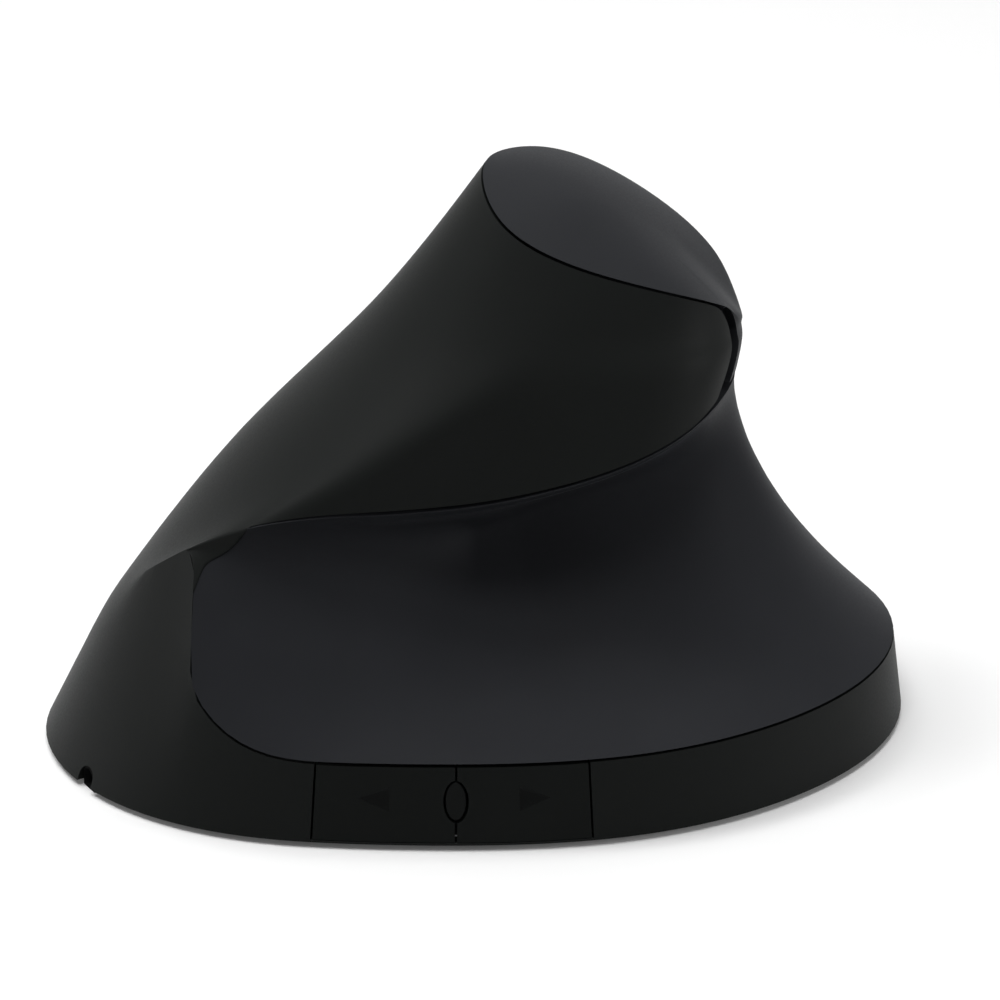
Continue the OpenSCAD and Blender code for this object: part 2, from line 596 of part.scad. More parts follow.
// Behind the speed keys the plate leaves room for their travel
function key_relief(hour) =
    hour > key_first - relief_hours && hour < key_last + relief_hours ? key_travel : 0;
function plate_reach(hour) = let(
    a = rim(hour, shell_z),
    b = edge(hour),
    q = (plate_top - shell_z) / (b.z - shell_z),
    p = mix(a, b, q),
    lean = norm([a.x - b.x, a.y - b.y]) / (b.z - a.z),
    d = norm([p.x, p.y]),
    inset = wall * sqrt(1 + lean * lean) + plate_gap + plate_slack + key_relief(hour)
) [p.x, p.y] * (1 - inset / d);
plate_outline = [for (h = span(0, 12, 72)) plate_reach(h)];
// Glide feet: place, direction and length
foot_margin = [14, 8.5];
foot_end = body_length / 2 - foot_margin.x;
foot_side = body_width / 2 - foot_margin.y;
feet = [[-foot_end, 2, 90, 18], [foot_end, 0, 90, 20], [2, -foot_side, 0, 18], [11, foot_side, 0, 14]];
module foot_shape(foot, r, z, h) {
    translate([foot.x, foot.y, z]) rotate([0, 0, foot[2]]) {
        translate([-foot[3] / 2, -r, 0]) cube([foot[3], 2 * r, h]);
        for (side = [-1, 1]) translate([side * foot[3] / 2, 0, 0]) cylinder(r = r, h = h);
    }
}
module glide_feet() {
    color("#d8d8d6") for (foot = feet) foot_shape(foot, foot_width / 2, 0, foot_stand + foot_pocket);
}

// Main board: its edges, its posts and the sensor over the window in the base
board_boss_gap = 2.2;
board_left = boss_place(boss_hours[2]).x + boss_r + board_boss_gap;
board_right = boss_place(boss_hours[3]).x - boss_r - board_boss_gap;
board_inset = 1.6;
board_front = tact_face + board_inset;
board_leg_room = 26.5;
board_back = deck_origin.y - board_leg_room;
post_margin = [4, 5];
board_posts = [[board_left + post_margin.x, board_front + post_margin.y],
    [board_right - post_margin.y, board_front + post_margin.y],
    [board_right - post_margin.y, board_back - post_margin.x]];
post_outer = 2.6;
post_floor = 1;
socket_size = [5, 9, 4.5];
socket_inset = 0.5;
chip_size = [9, 9, 1.6];
chip_gap = 1.5;
chip_place = [board_left + socket_inset + socket_size.x + chip_gap, board_front + 8.6];
sensor_size = [10, 9, 2.2];
sensor_gap = 1;
sensor_place = [chip_place.x + chip_size.x + sensor_gap + sensor_size.x / 2, board_front + 17.6];
window_size = [11, 9];
lens_gap = 0.2;
// Feet of the inner frame stand on the base plate, in a frame turned with the finger side
module turned() {
    translate([deck_origin.x, deck_origin.y, 0]) rotate([0, 0, deck_yaw]) children();
}
leg_y = -22.5;
leg_left = -12;
leg_right = 22;
frame_foot_depth = 11;
frame_foot_height = 2.5;
frame_bore_floor = 0.6;
frame_screw_x = [-6, 16];
frame_screw_y = leg_y + 7.5;
module frame_screw_places() {
    turned() for (x = frame_screw_x) translate([x, frame_screw_y, 0]) children();
}
module base_plate() {
    color("#161718") difference() {
        union() {
            translate([0, 0, plate_z]) linear_extrude(plate_thick) polygon(plate_outline);
            for (p = board_posts) translate([p.x, p.y, plate_top - eps])
                cylinder(r = post_outer, h = board_post + eps);
        }
        for (foot = feet) foot_shape(foot, foot_width / 2 + seam / 2, plate_z - 1, 1 + foot_pocket);
        for (h = boss_hours) translate([boss_place(h).x, boss_place(h).y, 0]) {
            translate([0, 0, plate_z - 1]) cylinder(r = screw_r + screw_gap, h = plate_thick + 2);
            translate([0, 0, plate_z - 1]) cylinder(r = screw_head_r + screw_gap, h = 1 + screw_head_h);
        }
        for (p = board_posts) translate([p.x, p.y, plate_z + post_floor])
            cylinder(r = screw_r + screw_gap, h = plate_thick + board_post);
        frame_screw_places() translate([0, 0, plate_z + frame_bore_floor])
            cylinder(r = screw_r + screw_gap, h = plate_thick);
        translate([sensor_place.x - window_size.x / 2, sensor_place.y - window_size.y / 2, plate_z - 1])
            cube([window_size.x, window_size.y, plate_thick + 2]);
        inlet_slot(grommet_r + grommet_gap);
    }
}
module screw(shank) {
    cylinder(r = screw_head_r, h = screw_head_h);
    translate([0, 0, screw_head_h - eps]) cylinder(r = screw_r, h = shank + eps);
}
module base_screws() {
    color("#8f9194") for (h = boss_hours) translate([boss_place(h).x, boss_place(h).y, plate_z])
        screw(boss_top - plate_z - screw_head_h - bore_floor - screw_tip_room);
}
module cable_grommet() {
    color("#17181a") at_inlet() translate([0, 0, -grommet_length]) difference() {
        cylinder(r = grommet_r, h = grommet_length - grommet_recess);
        translate([0, 0, -1]) cylinder(r = inlet_r, h = grommet_length + 2);
    }
}

// Scroll wheel, its axle and the yoke that tips inwards for a wheel click
wheel_z = wheel_stand - wheel_r;
ear_in = wheel_width / 2 + wheel_gap;
ear_out = ear_in + yoke_thick;
yoke_pivot = [16, -20];
web_top = wheel_z - wheel_r - 1;
web_bottom = web_top - yoke_thick;
toe_front = -21;
toe_back = -wheel_r - 1;
toe_low = plunger_top + touch_gap;
yoke_lug_in = ear_out + lug_gap;
module across(y, r, length) {
    translate([0, y + length, 0]) rotate([90, 0, 0]) cylinder(r = r, h = length);
}
hole_ring = 0.62;
hole_share = 0.16;
module scroll_wheel() {
    hub_r = wheel_r - tyre_thick;
    color("#2a2b2d") on_deck() translate([0, 0, wheel_z]) difference() {
        across(-wheel_width / 2, hub_r, wheel_width);
        across(-wheel_width / 2 - 1, axle_r, wheel_width + 2);
        for (a = [0:60:300]) rotate([0, a, 0]) translate([hub_r * hole_ring, 0, 0])
            across(-wheel_width / 2 - 1, hub_r * hole_share, wheel_width + 2);
    }
}
tyre_ribs = 36;
rib_depth = 0.4;
rib_gap = 0.7;
module wheel_tyre() {
    color("#111213") on_deck() translate([0, 0, wheel_z]) difference() {
        across(-wheel_width / 2, wheel_r, wheel_width);
        across(-wheel_width / 2 - 1, wheel_r - tyre_thick, wheel_width + 2);
        for (i = [0:tyre_ribs - 1]) rotate([0, 360 * i / tyre_ribs, 0])
            translate([wheel_r - rib_depth, -wheel_width / 2 - 1, -rib_gap / 2])
                cube([2 * rib_depth, wheel_width + 2, rib_gap]);
    }
}
axle_end = 0.6;
axle_front = -ear_out - axle_end;
encoder_gap = 0.3;
encoder_thick = 4;
encoder_size = 9;
axle_back = ear_out + encoder_thick + axle_end;
module wheel_axle() {
    color("#b9bcc0") on_deck() translate([0, 0, wheel_z]) across(axle_front, axle_r, axle_back - axle_front);
}
ear_half = 5;
ear_rise = 4;
yoke_end = yoke_pivot.x + 3;
toe_width = 5;
module ear_profile() {
    polygon([[-ear_half, wheel_z + ear_rise], [ear_half, wheel_z + ear_rise],
        [yoke_end, yoke_pivot.y + ear_rise], [yoke_end, web_bottom],
        [toe_back - yoke_thick, web_bottom], [toe_back - yoke_thick, web_top]]);
}
module wheel_yoke() {
    color("#4a4d50") on_deck() difference() {
        union() {
            for (y = [-ear_out, ear_in]) translate([0, y + yoke_thick, 0]) rotate([90, 0, 0])
                linear_extrude(yoke_thick) ear_profile();
            translate([toe_back - yoke_thick, -ear_out, web_bottom])
                cube([yoke_end - toe_back + yoke_thick, 2 * ear_out, yoke_thick]);
            translate([toe_back - yoke_thick, -ear_out, web_bottom])
                cube([yoke_thick, 2 * ear_out, toe_low + yoke_thick - web_bottom]);
            translate([toe_front, -toe_width / 2, toe_low])
                cube([toe_back - toe_front, toe_width, yoke_thick]);
        }
        translate([0, 0, wheel_z]) across(-ear_out - 1, axle_r + running, 2 * ear_out + 2);
        translate([yoke_pivot.x, 0, yoke_pivot.y]) across(-ear_out - 1, pin_r + running, 2 * ear_out + 2);
    }
}
module yoke_pin() {
    half = yoke_lug_in + lug_thick;
    color("#b9bcc0") on_deck() translate([yoke_pivot.x, 0, yoke_pivot.y]) across(-half, pin_r, 2 * half);
}
module wheel_encoder() {
    color("#2f5d43") on_deck() translate([0, ear_out, wheel_z]) difference() {
        translate([-encoder_size / 2, 0, -encoder_size / 2])
            cube([encoder_size, encoder_thick, encoder_size]);
        across(-1, axle_r + encoder_gap, encoder_thick + 2);
    }
}

// Inner frame: a plate behind the button board, with lugs for the three hinges, on a leg on the base
standoff_height = 2.4;
standoff_r = 2;
leg_thick = 3;
leg_overlap = 2;
frame_face = -board_depth - board_thick - standoff_height;
// The flat cable starts below the lower switch, and the board and the frame end just below that
cable_gap = 1.2;
cable_land = 2.4;
cable_start = lower_post_at.y + switch_width / 2 + cable_gap;
board_bottom = cable_start + cable_land;
frame_bottom = board_bottom + 1;
frame_outline = [[-19, frame_bottom], [22, frame_bottom], [22, -23], [12, -23], [-19, -4]];
board_outline = [[-24, board_bottom], [8, board_bottom], [8, -18], [-4, -18], [-24, -4]];
standoffs = [[-10, board_bottom - 3], [5, board_bottom - 3], [5, -5], [-12, 9]];
module lug(x, y, z, half) {
    translate([x - half, y, frame_face - eps]) cube([2 * half, lug_thick, z - frame_face]);
    translate([x, 0, z]) across(y, half, lug_thick);
}
module hinge_lugs(hinge) {
    axis = hinge_axis(hinge);
    out = knuckle_length / 2 + lug_gap;
    for (y = [axis.y - out - lug_thick, axis.y + out]) lug(axis.x, y, axis.z, knuckle_r);
}
module inner_frame() {
    pin_fit = pin_r + running;
    leg_top = from_deck([0, frame_bottom - leg_overlap, frame_face - frame_thick]).z;
    color("#3c4043") difference() {
        union() {
            on_deck() {
                translate([0, 0, frame_face - frame_thick])
                    linear_extrude(frame_thick) polygon(frame_outline);
                for (p = standoffs) translate([p.x, p.y, frame_face - eps])
                    cylinder(r = standoff_r, h = standoff_height + eps);
                for (y = [-yoke_lug_in - lug_thick, yoke_lug_in])
                    lug(yoke_pivot.x, y, yoke_pivot.y, knuckle_r);
                hinge_lugs(upper_hinge_at);
                hinge_lugs(lower_hinge_at);
            }
            turned() {
                translate([leg_left, leg_y, plate_top])
                    cube([leg_right - leg_left, leg_thick, leg_top - plate_top]);
                translate([leg_left, leg_y, plate_top])
                    cube([leg_right - leg_left, frame_foot_depth, frame_foot_height]);
            }
        }
        on_deck() {
            translate([yoke_pivot.x, 0, yoke_pivot.y]) across(-2 * yoke_lug_in, pin_fit, 4 * yoke_lug_in);
            hinge_bore(upper_hinge_at, pin_fit, 2 * knuckle_length + 2 * lug_thick);
            hinge_bore(lower_hinge_at, pin_fit, 2 * knuckle_length + 2 * lug_thick);
        }
        frame_screw_places() translate([0, 0, plate_top - 1])
            cylinder(r = screw_r + screw_gap, h = frame_foot_height + 2);
    }
}
module frame_screws() {
    color("#8f9194") frame_screw_places() translate([0, 0, plate_top + frame_foot_height + screw_head_h])
        mirror([0, 0, 1])
            screw(frame_foot_height + plate_thick - frame_bore_floor - screw_tip_room);
}
module hinge_pin(hinge) {
    length = knuckle_length + 2 * (lug_gap + lug_thick);
    color("#b9bcc0") on_deck() hinge_bore(hinge, pin_r, length);
}
module upper_hinge_pin() {
    hinge_pin(upper_hinge_at);
}
module lower_hinge_pin() {
    hinge_pin(lower_hinge_at);
}

// Button board with three snap switches
wheel_switch_x = -18;
module button_board() {
    color("#1f5a3c") on_deck() translate([0, 0, -board_depth - board_thick])
        linear_extrude(board_thick) polygon(board_outline);
}
plunger_r = 0.9;
plunger_deep = 1.6;
plunger_hole = 0.1;
switch_tail = 3.4;
module snap_switch(x, y, turn = 0) {
    color("#26282b") on_deck() translate([x, y, -board_depth]) rotate([0, 0, turn]) difference() {
        translate([switch_tail - switch_length, -switch_width / 2, 0])
            cube([switch_length, switch_width, switch_height]);
        translate([0, 0, switch_height - plunger_deep - 1])
            cylinder(r = plunger_r + plunger_hole, h = plunger_deep + 2);
    }
}
module snap_plunger(x, y) {
    color("#c9a46a") on_deck() translate([x, y, plunger_top - plunger_stand - plunger_deep])
        cylinder(r = plunger_r, h = plunger_stand + plunger_deep);
}
module upper_switch() {
    snap_switch(upper_post_at.x, upper_post_at.y);
}
module lower_switch() {
    snap_switch(lower_post_at.x, lower_post_at.y);
}
module wheel_switch() {
    snap_switch(wheel_switch_x, 0, -90);
}
module upper_plunger() {
    snap_plunger(upper_post_at.x, upper_post_at.y);
}
module lower_plunger() {
    snap_plunger(lower_post_at.x, lower_post_at.y);
}
module wheel_plunger() {
    snap_plunger(wheel_switch_x, 0);
}

// Main board on its posts and what is soldered to it
sensor_hole = [8, 6];
lens_rim = 2;
lens_lift = 0.5;
module block_on(place, size, z) {
    translate([place.x - size.x / 2, place.y - size.y / 2, z]) cube(size);
}
module main_board() {
    color("#1f5a3c") difference() {
        translate([board_left, board_front, board_z])
            cube([board_right - board_left, board_back - board_front, board_thick]);
        for (p = board_posts) translate([p.x, p.y, board_z - 1])
            cylinder(r = screw_r + screw_gap, h = board_thick + 2);
        block_on(sensor_place, [sensor_hole.x, sensor_hole.y, board_thick + 2], board_z - 1);
    }
}
module board_screws() {
    color("#8f9194") for (p = board_posts) translate([p.x, p.y, board_top + screw_head_h])
        mirror([0, 0, 1]) screw(board_thick + board_post - screw_tip_room);
}
module optical_sensor() {
    color("#15161a") block_on(sensor_place, sensor_size, board_top);
}
module sensor_lens() {
    color("#9fb4bd") {
        block_on(sensor_place, [window_size.x - 2 * lens_gap, window_size.y - 2 * lens_gap,
            plate_thick - lens_lift + eps], plate_z + lens_lift);
        block_on(sensor_place, [window_size.x + 2 * lens_rim, window_size.y + 2 * lens_rim,
            board_post - touch_gap], plate_top);
    }
}
module controller_chip() {
    color("#15161a") translate([chip_place.x, chip_place.y, board_top]) cube(chip_size);
}
module cable_socket() {
    color("#e6e2d6") translate([board_left + socket_inset, chip_place.y, board_top]) cube(socket_size);
}

// Flat cable from the button board down to the main board
cable_thick = 0.5;
cable_end = board_top + cable_thick;
cable_width = 8;
cable_left = -20.5;
cable_edge = 0.4;
function ribbon(path, thick) = let(n = len(path), side = [for (i = [0:n - 1]) let(
        d = unit(path[min(i + 1, n - 1)] - path[max(i - 1, 0)])) path[i] + thick * [-d.y, d.x]])
    concat(path, [for (i = [n - 1:-1:0]) side[i]]);
module flat_cable() {
    top = to_turned(cable_start, -board_depth);
    bend = to_turned(board_bottom + cable_edge, -board_depth);
    drop = bend.y - cable_end;
    path = [top, bend, bend + [0.6, -0.3 * drop], bend + [-1, -0.6 * drop], bend + [-5, -0.87 * drop],
        [bend.x - 8, cable_end + 0.6], [bend.x - 9, cable_end], [bend.x - 11, cable_end]];
    color("#cfd2d4") turned() translate([cable_left, 0, 0]) rotate([90, 0, 90]) linear_extrude(cable_width)
        polygon(ribbon(path, cable_thick));
}
// Distance from the turned frame's middle plane and height of a point given on the finger side
function to_turned(y, z) = [y * sin(deck_lean) + z * cos(deck_lean),
    deck_origin.z - y * cos(deck_lean) + z * sin(deck_lean)];

// Right-angle key switches and the indicator light on the thumb edge of the main board
tact_width = 5;
tact_depth = 3.6;
tact_plunger_r = 0.9;
module tact_switch(x) {
    color("#26282b") difference() {
        translate([x - tact_width / 2, tact_face, board_top]) cube([tact_width, tact_depth, tact_height]);
        translate([x, tact_face - 1, tact_axis_z]) rotate([-90, 0, 0])
            cylinder(r = tact_plunger_r + plunger_hole, h = plunger_deep + 2);
    }
}
module tact_plunger(x) {
    color("#c9a46a") translate([x, tact_face - tact_stand, tact_axis_z]) rotate([-90, 0, 0])
        cylinder(r = tact_plunger_r, h = tact_stand + plunger_deep);
}
module speed_down_switch() {
    tact_switch(key_x(key_first, key_middle));
}
module speed_up_switch() {
    tact_switch(key_x(key_middle, key_last));
}
module speed_down_plunger() {
    tact_plunger(key_x(key_first, key_middle));
}
module speed_up_plunger() {
    tact_plunger(key_x(key_middle, key_last));
}
module indicator_led() {
    color("#e9ecef") translate([lens_place.x - led_size.x / 2, led_face, board_top]) cube(led_size);
}

main_shell();
top_cap();
palm_shell();
thumb_saddle();
upper_button();
lower_button();
wheel_bezel();
speed_down_key();
speed_up_key();
indicator_lens();
base_plate();
glide_feet();
base_screws();
cable_grommet();
inner_frame();
frame_screws();
upper_hinge_pin();
lower_hinge_pin();
scroll_wheel();
wheel_tyre();
wheel_axle();
wheel_yoke();
yoke_pin();
wheel_encoder();
button_board();
upper_switch();
lower_switch();
wheel_switch();
upper_plunger();
lower_plunger();
wheel_plunger();
main_board();
board_screws();
optical_sensor();
sensor_lens();
controller_chip();
cable_socket();
flat_cable();
speed_down_switch();
speed_up_switch();
speed_down_plunger();
speed_up_plunger();
indicator_led();
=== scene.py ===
"""Looks of a vertical ergonomic mouse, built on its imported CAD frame.

Metres, +Z up, the nose points to -X and the thumb side faces -Y. The curves of the body are worked out in
millimetres, from the same rings and seams as the solids, and scaled once when a mesh is made.
"""
import math

import bpy
import numpy as np
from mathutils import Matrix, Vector


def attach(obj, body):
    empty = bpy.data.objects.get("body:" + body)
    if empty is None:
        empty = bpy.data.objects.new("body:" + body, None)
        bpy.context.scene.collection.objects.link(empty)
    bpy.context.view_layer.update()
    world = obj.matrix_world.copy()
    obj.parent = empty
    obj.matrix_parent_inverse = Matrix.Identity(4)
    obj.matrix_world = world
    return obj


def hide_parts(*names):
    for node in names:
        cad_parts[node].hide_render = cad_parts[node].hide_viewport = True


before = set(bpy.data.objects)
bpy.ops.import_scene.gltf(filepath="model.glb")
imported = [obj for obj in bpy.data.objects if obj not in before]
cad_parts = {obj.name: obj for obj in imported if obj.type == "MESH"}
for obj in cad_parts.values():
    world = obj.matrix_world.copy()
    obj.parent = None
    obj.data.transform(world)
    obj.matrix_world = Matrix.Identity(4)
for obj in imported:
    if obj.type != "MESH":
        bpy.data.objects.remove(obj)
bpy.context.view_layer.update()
MM = 0.001

# Walls, gaps and levels of the body in millimetres, and the slope of the nose
WALL = 2.0
LID_WALL = 1.5
SEAM = 0.3
LID_GAP = 0.4
KEY_GAP = 0.4
LEDGE_GAP = 0.95
GROOVE = 2.4
SHELL_Z = 0.9
FLANGE_Z = 12.3
RIM_DRAFT = 1.5
FRONT_LEAN = 0.42
CAP_RISE = 4.0

# The clock on which the body is drawn, and small steps along its surfaces in hours and in shares
CLOCK = 12
HOUR_DEGREES = 360 / CLOCK
TAIL, FINGERS, NOSE, THUMB = 0.0, 3.0, 6.0, 9.0
HOUR_STRIDE, SHARE_STRIDE, NORMAL_STEP = 0.05, 0.02, 0.02
LEAST_LENGTH = 1e-9
X_AXIS, Y_AXIS, UP = np.eye(3)

# Rings of the body seen from above: centre, reach and height at the twelve hours of the clock
FOOT_RING = ((-0.3, 0), (63.5, 56, 40.5, 37, 41, 53, 63, 54, 40, 37, 41.3, 50.6), (0,) * 12)
FIN_RING = ((-2.3, 0), (38.5, 37, 31, 27, 30, 44, 52, 38.5, 21.5, 19, 22, 34),
            (55.5, 41, 23, 16, 15, 15.5, 16.5, 43, 41.5, 42, 44, 49.5))
WAIST_RING = ((8.7, 1), (27.5, 28, 26.5, 24.5, 28, 36.5, 46.5, 37.5, 21.5, 18, 20, 26.5),
              (57.5, 53.5, 47, 44.5, 43, 41.5, 39, 46.5, 55, 58, 58.5, 58.5))
BROW_RING = ((14.7, 2), (21, 22.5, 21.5, 20, 22.5, 26, 28.5, 26, 19.5, 16.5, 18, 21.5),
             (58, 58.5, 58, 60, 61, 62, 62, 61.5, 63.5, 64.5, 63, 60.5))
CROWN_RING = ((19.7, 3), (16, 17, 16.5, 15.5, 16.5, 18, 18.5, 19.5, 16.5, 15, 16.5, 17),
              (58, 63.5, 69, 74.5, 78.5, 80, 81, 76, 72.5, 70, 67.5, 63))
SHELF_RING = ((3.7, 1), (45.5, 44.5, 35.5, 31.5, 35.5, 40.5, 42, 32, 21.5, 20, 22, 33.5),
              (23.5, 21.5, 16.5, 15.2, 15, 15, 14.5, 26, 20, 20, 21.5, 22.5))
NECK_RING = ((1.7, 1), (39.5, 33.5, 30, 28, 31, 37, 44, 20, 11.5, 10, 11.5, 21),
             (43, 31.5, 18, 16, 15, 15, 15, 35, 33, 33.5, 37, 41))

# Hours of the seams, hours over which one form passes into the next, and levels as shares of a height
SCOOP_START, SCOOP_END = 6.75, 17.0
SADDLE_FIRST, SADDLE_LAST = 6.83, 16.75
SCOOP_RISE = 1.2
SCOOP_BLEND = 0.4
LEDGE_TAPER = 1.5
BUTTON_FRONT, BUTTON_REAR = 5.2, 2.6
KEY_FIRST, KEY_MIDDLE, KEY_LAST = 7.86, 8.75, 9.65
TONGUE_HOUR = 11.38
TONGUE_LOW, TONGUE_HIGH = 0.06, 0.18
TONGUE_ROUND_LOW, TONGUE_ROUND_HIGH = 0.3, 0.95
REAR_SWEEP = 0.6
LIP_LEVEL, LIP_PULL, LIP_STEP = -0.016, 0.5, 0.02
LIP_HOLD, LIP_HOLD_HOURS = 7.2, 0.8
LEDGE_RAMP, RAMP_HOURS = 16.2, 1.5
SHELF_HOURS, NECK_HOURS = 2.8, 1.8
SHELF_LEVEL, NECK_LEVEL = 0.35, 0.8
DROP_START, DROP_HOURS, DROP_END, DROP_FADE = 1.6, 1.2, 5.0, 0.5
THIN_SHARE, THIN_HOURS = 0.6, 0.8
PRESS_BLEND = 0.6
BEZEL_LOW, BEZEL_HIGH = 0.41, 0.59


# Small tools for curves
def clamp(x):
    return np.clip(x, 0.0, 1.0)


def ease(x):
    c = clamp(x)
    return c * c * (3 - 2 * c)


def mix(a, b, share):
    return a * (1 - share) + b * share


def mix_points(a, b, share):
    return mix(a, b, np.asarray(share, float)[..., None])


def unit(v):
    return v / np.maximum(np.linalg.norm(v, axis=-1, keepdims=True), LEAST_LENGTH)


def by_hour(values, hour):
    """A smooth closed curve that follows twelve hourly values."""
    v = np.asarray(values, float)
    i = np.floor(hour).astype(int)
    f = hour - i
    before, here, after, later = (v[(i + step) % CLOCK] for step in (-1, 0, 1, 2))
    return ((1 - f) ** 3 * before + (3 * f ** 3 - 6 * f ** 2 + 4) * here
            + (3 * f + 3 * f ** 2 - 3 * f ** 3 + 1) * after + f ** 3 * later) / 6


def ring(values, hour):
    """Points of a ring at given hours."""
    hour = np.asarray(hour, float)
    centre, reach, height = values
    turn = np.radians(HOUR_DEGREES * hour)
    r = by_hour(reach, hour)
    return np.stack([centre[0] + r * np.cos(turn), centre[1] + r * np.sin(turn), by_hour(height, hour)], -1)


def through(points, share, pull=0.0, hold=0.0):
    """A smooth curve through four points, by share of its length, which may be held to a pull at its end."""
    p = np.stack(np.broadcast_arrays(*points))
    share = np.broadcast_to(share, p.shape[1:-1])
    d = np.sqrt(np.linalg.norm(np.diff(p, axis=0), axis=-1))
    g = d / d.sum(axis=0)
    slope = np.diff(p, axis=0) / g[..., None]
    inner = (slope[:-1] * g[1:, ..., None] + slope[1:] * g[:-1, ..., None]) / (g[:-1] + g[1:])[..., None]
    end = mix_points(1.5 * slope[2] - 0.5 * inner[1], pull / g[2][..., None], hold)
    tangent = [1.5 * slope[0] - 0.5 * inner[0], inner[0], inner[1], end]
    knot = [np.zeros_like(g[0]), g[0], g[0] + g[1]]
    pieces = []
    for i in range(3):
        s = ((share - knot[i]) / g[i])[..., None]
        span = g[i][..., None]
        pieces.append((1 + 2 * s) * (1 - s) ** 2 * p[i] + s * (1 - s) ** 2 * tangent[i] * span
                      + s * s * (3 - 2 * s) * p[i + 1] + s * s * (s - 1) * tangent[i + 1] * span)
    first = (share < knot[1])[..., None]
    second = (share < knot[2])[..., None]
    return np.where(first, pieces[0], np.where(second, pieces[1], pieces[2]))


# Surfaces of the body, by hour and share of height
def rim(hour, z):
    """The rim's face at a height, drafted inward and leaning back above the flange."""
    hour, z = np.broadcast_arrays(np.asarray(hour, float), np.asarray(z, float))
    inset = RIM_DRAFT * (np.minimum(z, FLANGE_Z) - SHELL_Z) / (FLANGE_Z - SHELL_Z)
    inset = inset + FRONT_LEAN * np.maximum(0, z - FLANGE_Z)
    turn = np.radians(HOUR_DEGREES * hour)
    reach = by_hour(FOOT_RING[1], hour) - inset
    return np.stack([FOOT_RING[0][0] + reach * np.cos(turn), FOOT_RING[0][1] + reach * np.sin(turn), z], -1)


def edge(hour):
    """The top of the side wall: the flange, or the foot of the fin at the nose."""
    hour = np.asarray(hour, float)
    h = hour % CLOCK
    scoop_hours = h - SCOOP_START
    top = ring(FIN_RING, SCOOP_START)[2]
    rise = np.where(h < NOSE, 0, clamp(1 - scoop_hours / SCOOP_RISE) ** 3)
    front = np.where(h < NOSE, ease((h - SCOOP_END + CLOCK + LEDGE_TAPER) / LEDGE_TAPER),
                     1 - ease(scoop_hours / SCOOP_BLEND))
    return mix_points(rim(hour, mix(FLANGE_Z, top, rise)), ring(FIN_RING, hour), front)


def side_wall(hour, share):
    """The side wall from its foot to its edge."""
    hour, share = np.broadcast_arrays(np.asarray(hour, float), np.asarray(share, float))
    return mix_points(rim(hour, SHELL_Z), edge(hour), share)


def fin(hour, share):
    """The upper body from its foot to the crown."""
    hour, share = np.broadcast_arrays(np.asarray(hour, float), np.asarray(share, float))
    return through([ring(r, hour) for r in (FIN_RING, WAIST_RING, BROW_RING, CROWN_RING)], share)


def surface_normal(surface, hour, share):
    along = surface(hour + NORMAL_STEP, share) - surface(hour - NORMAL_STEP, share)
    up = surface(hour, share + NORMAL_STEP) - surface(hour, share - NORMAL_STEP)
    return unit(np.cross(along, up))


def hour_step(surface, hour, share, length):
    """How many hours a length takes along a surface."""
    stride = surface(hour + HOUR_STRIDE, share) - surface(hour, share)
    return length * HOUR_STRIDE / np.linalg.norm(stride, axis=-1)


def share_step(surface, hour, share, length):
    """What share of a surface's height a length takes, measured toward its middle."""
    step = np.where(np.asarray(share) > 0.5, -SHARE_STRIDE, SHARE_STRIDE)
    stride = surface(hour, share + step) - surface(hour, share)
    return length * SHARE_STRIDE / np.linalg.norm(stride, axis=-1)


def rear_seam(share):
    return BUTTON_REAR - REAR_SWEEP * clamp(1 - 2 * share)


def arc_drop(x):
    return 1 - np.sqrt(1 - clamp(x) ** 2)


def tongue_seam(share):
    """The end of the thumb panel, rounded off by quarter ellipses below and above."""
    low = TONGUE_ROUND_LOW * arc_drop(1 - share / TONGUE_LOW)
    return TONGUE_HOUR - low - TONGUE_ROUND_HIGH * arc_drop((share - TONGUE_HIGH) / (1 - TONGUE_HIGH))


def ledge_drop(hour):
    """How far the wall stays below the saddle's edge on the finger side."""
    h = hour % CLOCK
    return LID_WALL * ease((h - DROP_START) / DROP_HOURS) * (1 - ease((h - DROP_END) / DROP_FADE))


def wall_top(hour):
    return 1 - share_step(side_wall, hour, 1.0, LID_GAP + ledge_drop(hour))


def fin_top(hour):
    return 1 - share_step(fin, hour, 1.0, LID_GAP)


def lip(hour):
    return fin(hour, LIP_LEVEL)


def scoop(hour, share):
    """The thumb saddle from the flange to the lip of the fin."""
    hour, share = np.broadcast_arrays(np.asarray(hour, float), np.asarray(share, float))
    foot, top = edge(hour), lip(hour)
    closing = ease((LEDGE_RAMP - hour) / RAMP_HOURS)
    shelf_share = ease((hour - SCOOP_START) / SHELF_HOURS) * closing
    neck_share = ease((hour - SCOOP_START) / NECK_HOURS) * closing
    shelf = mix_points(mix(foot, top, SHELF_LEVEL), ring(SHELF_RING, hour), shelf_share)
    neck = mix_points(mix(foot, top, NECK_LEVEL), ring(NECK_RING, hour), neck_share)
    reach = LIP_PULL * np.linalg.norm(top - neck, axis=-1, keepdims=True)
    pull = reach * unit(fin(hour, LIP_STEP) - fin(hour, -LIP_STEP))
    return through([foot, shelf, neck, top], share, pull, ease((hour - LIP_HOLD) / LIP_HOLD_HOURS))


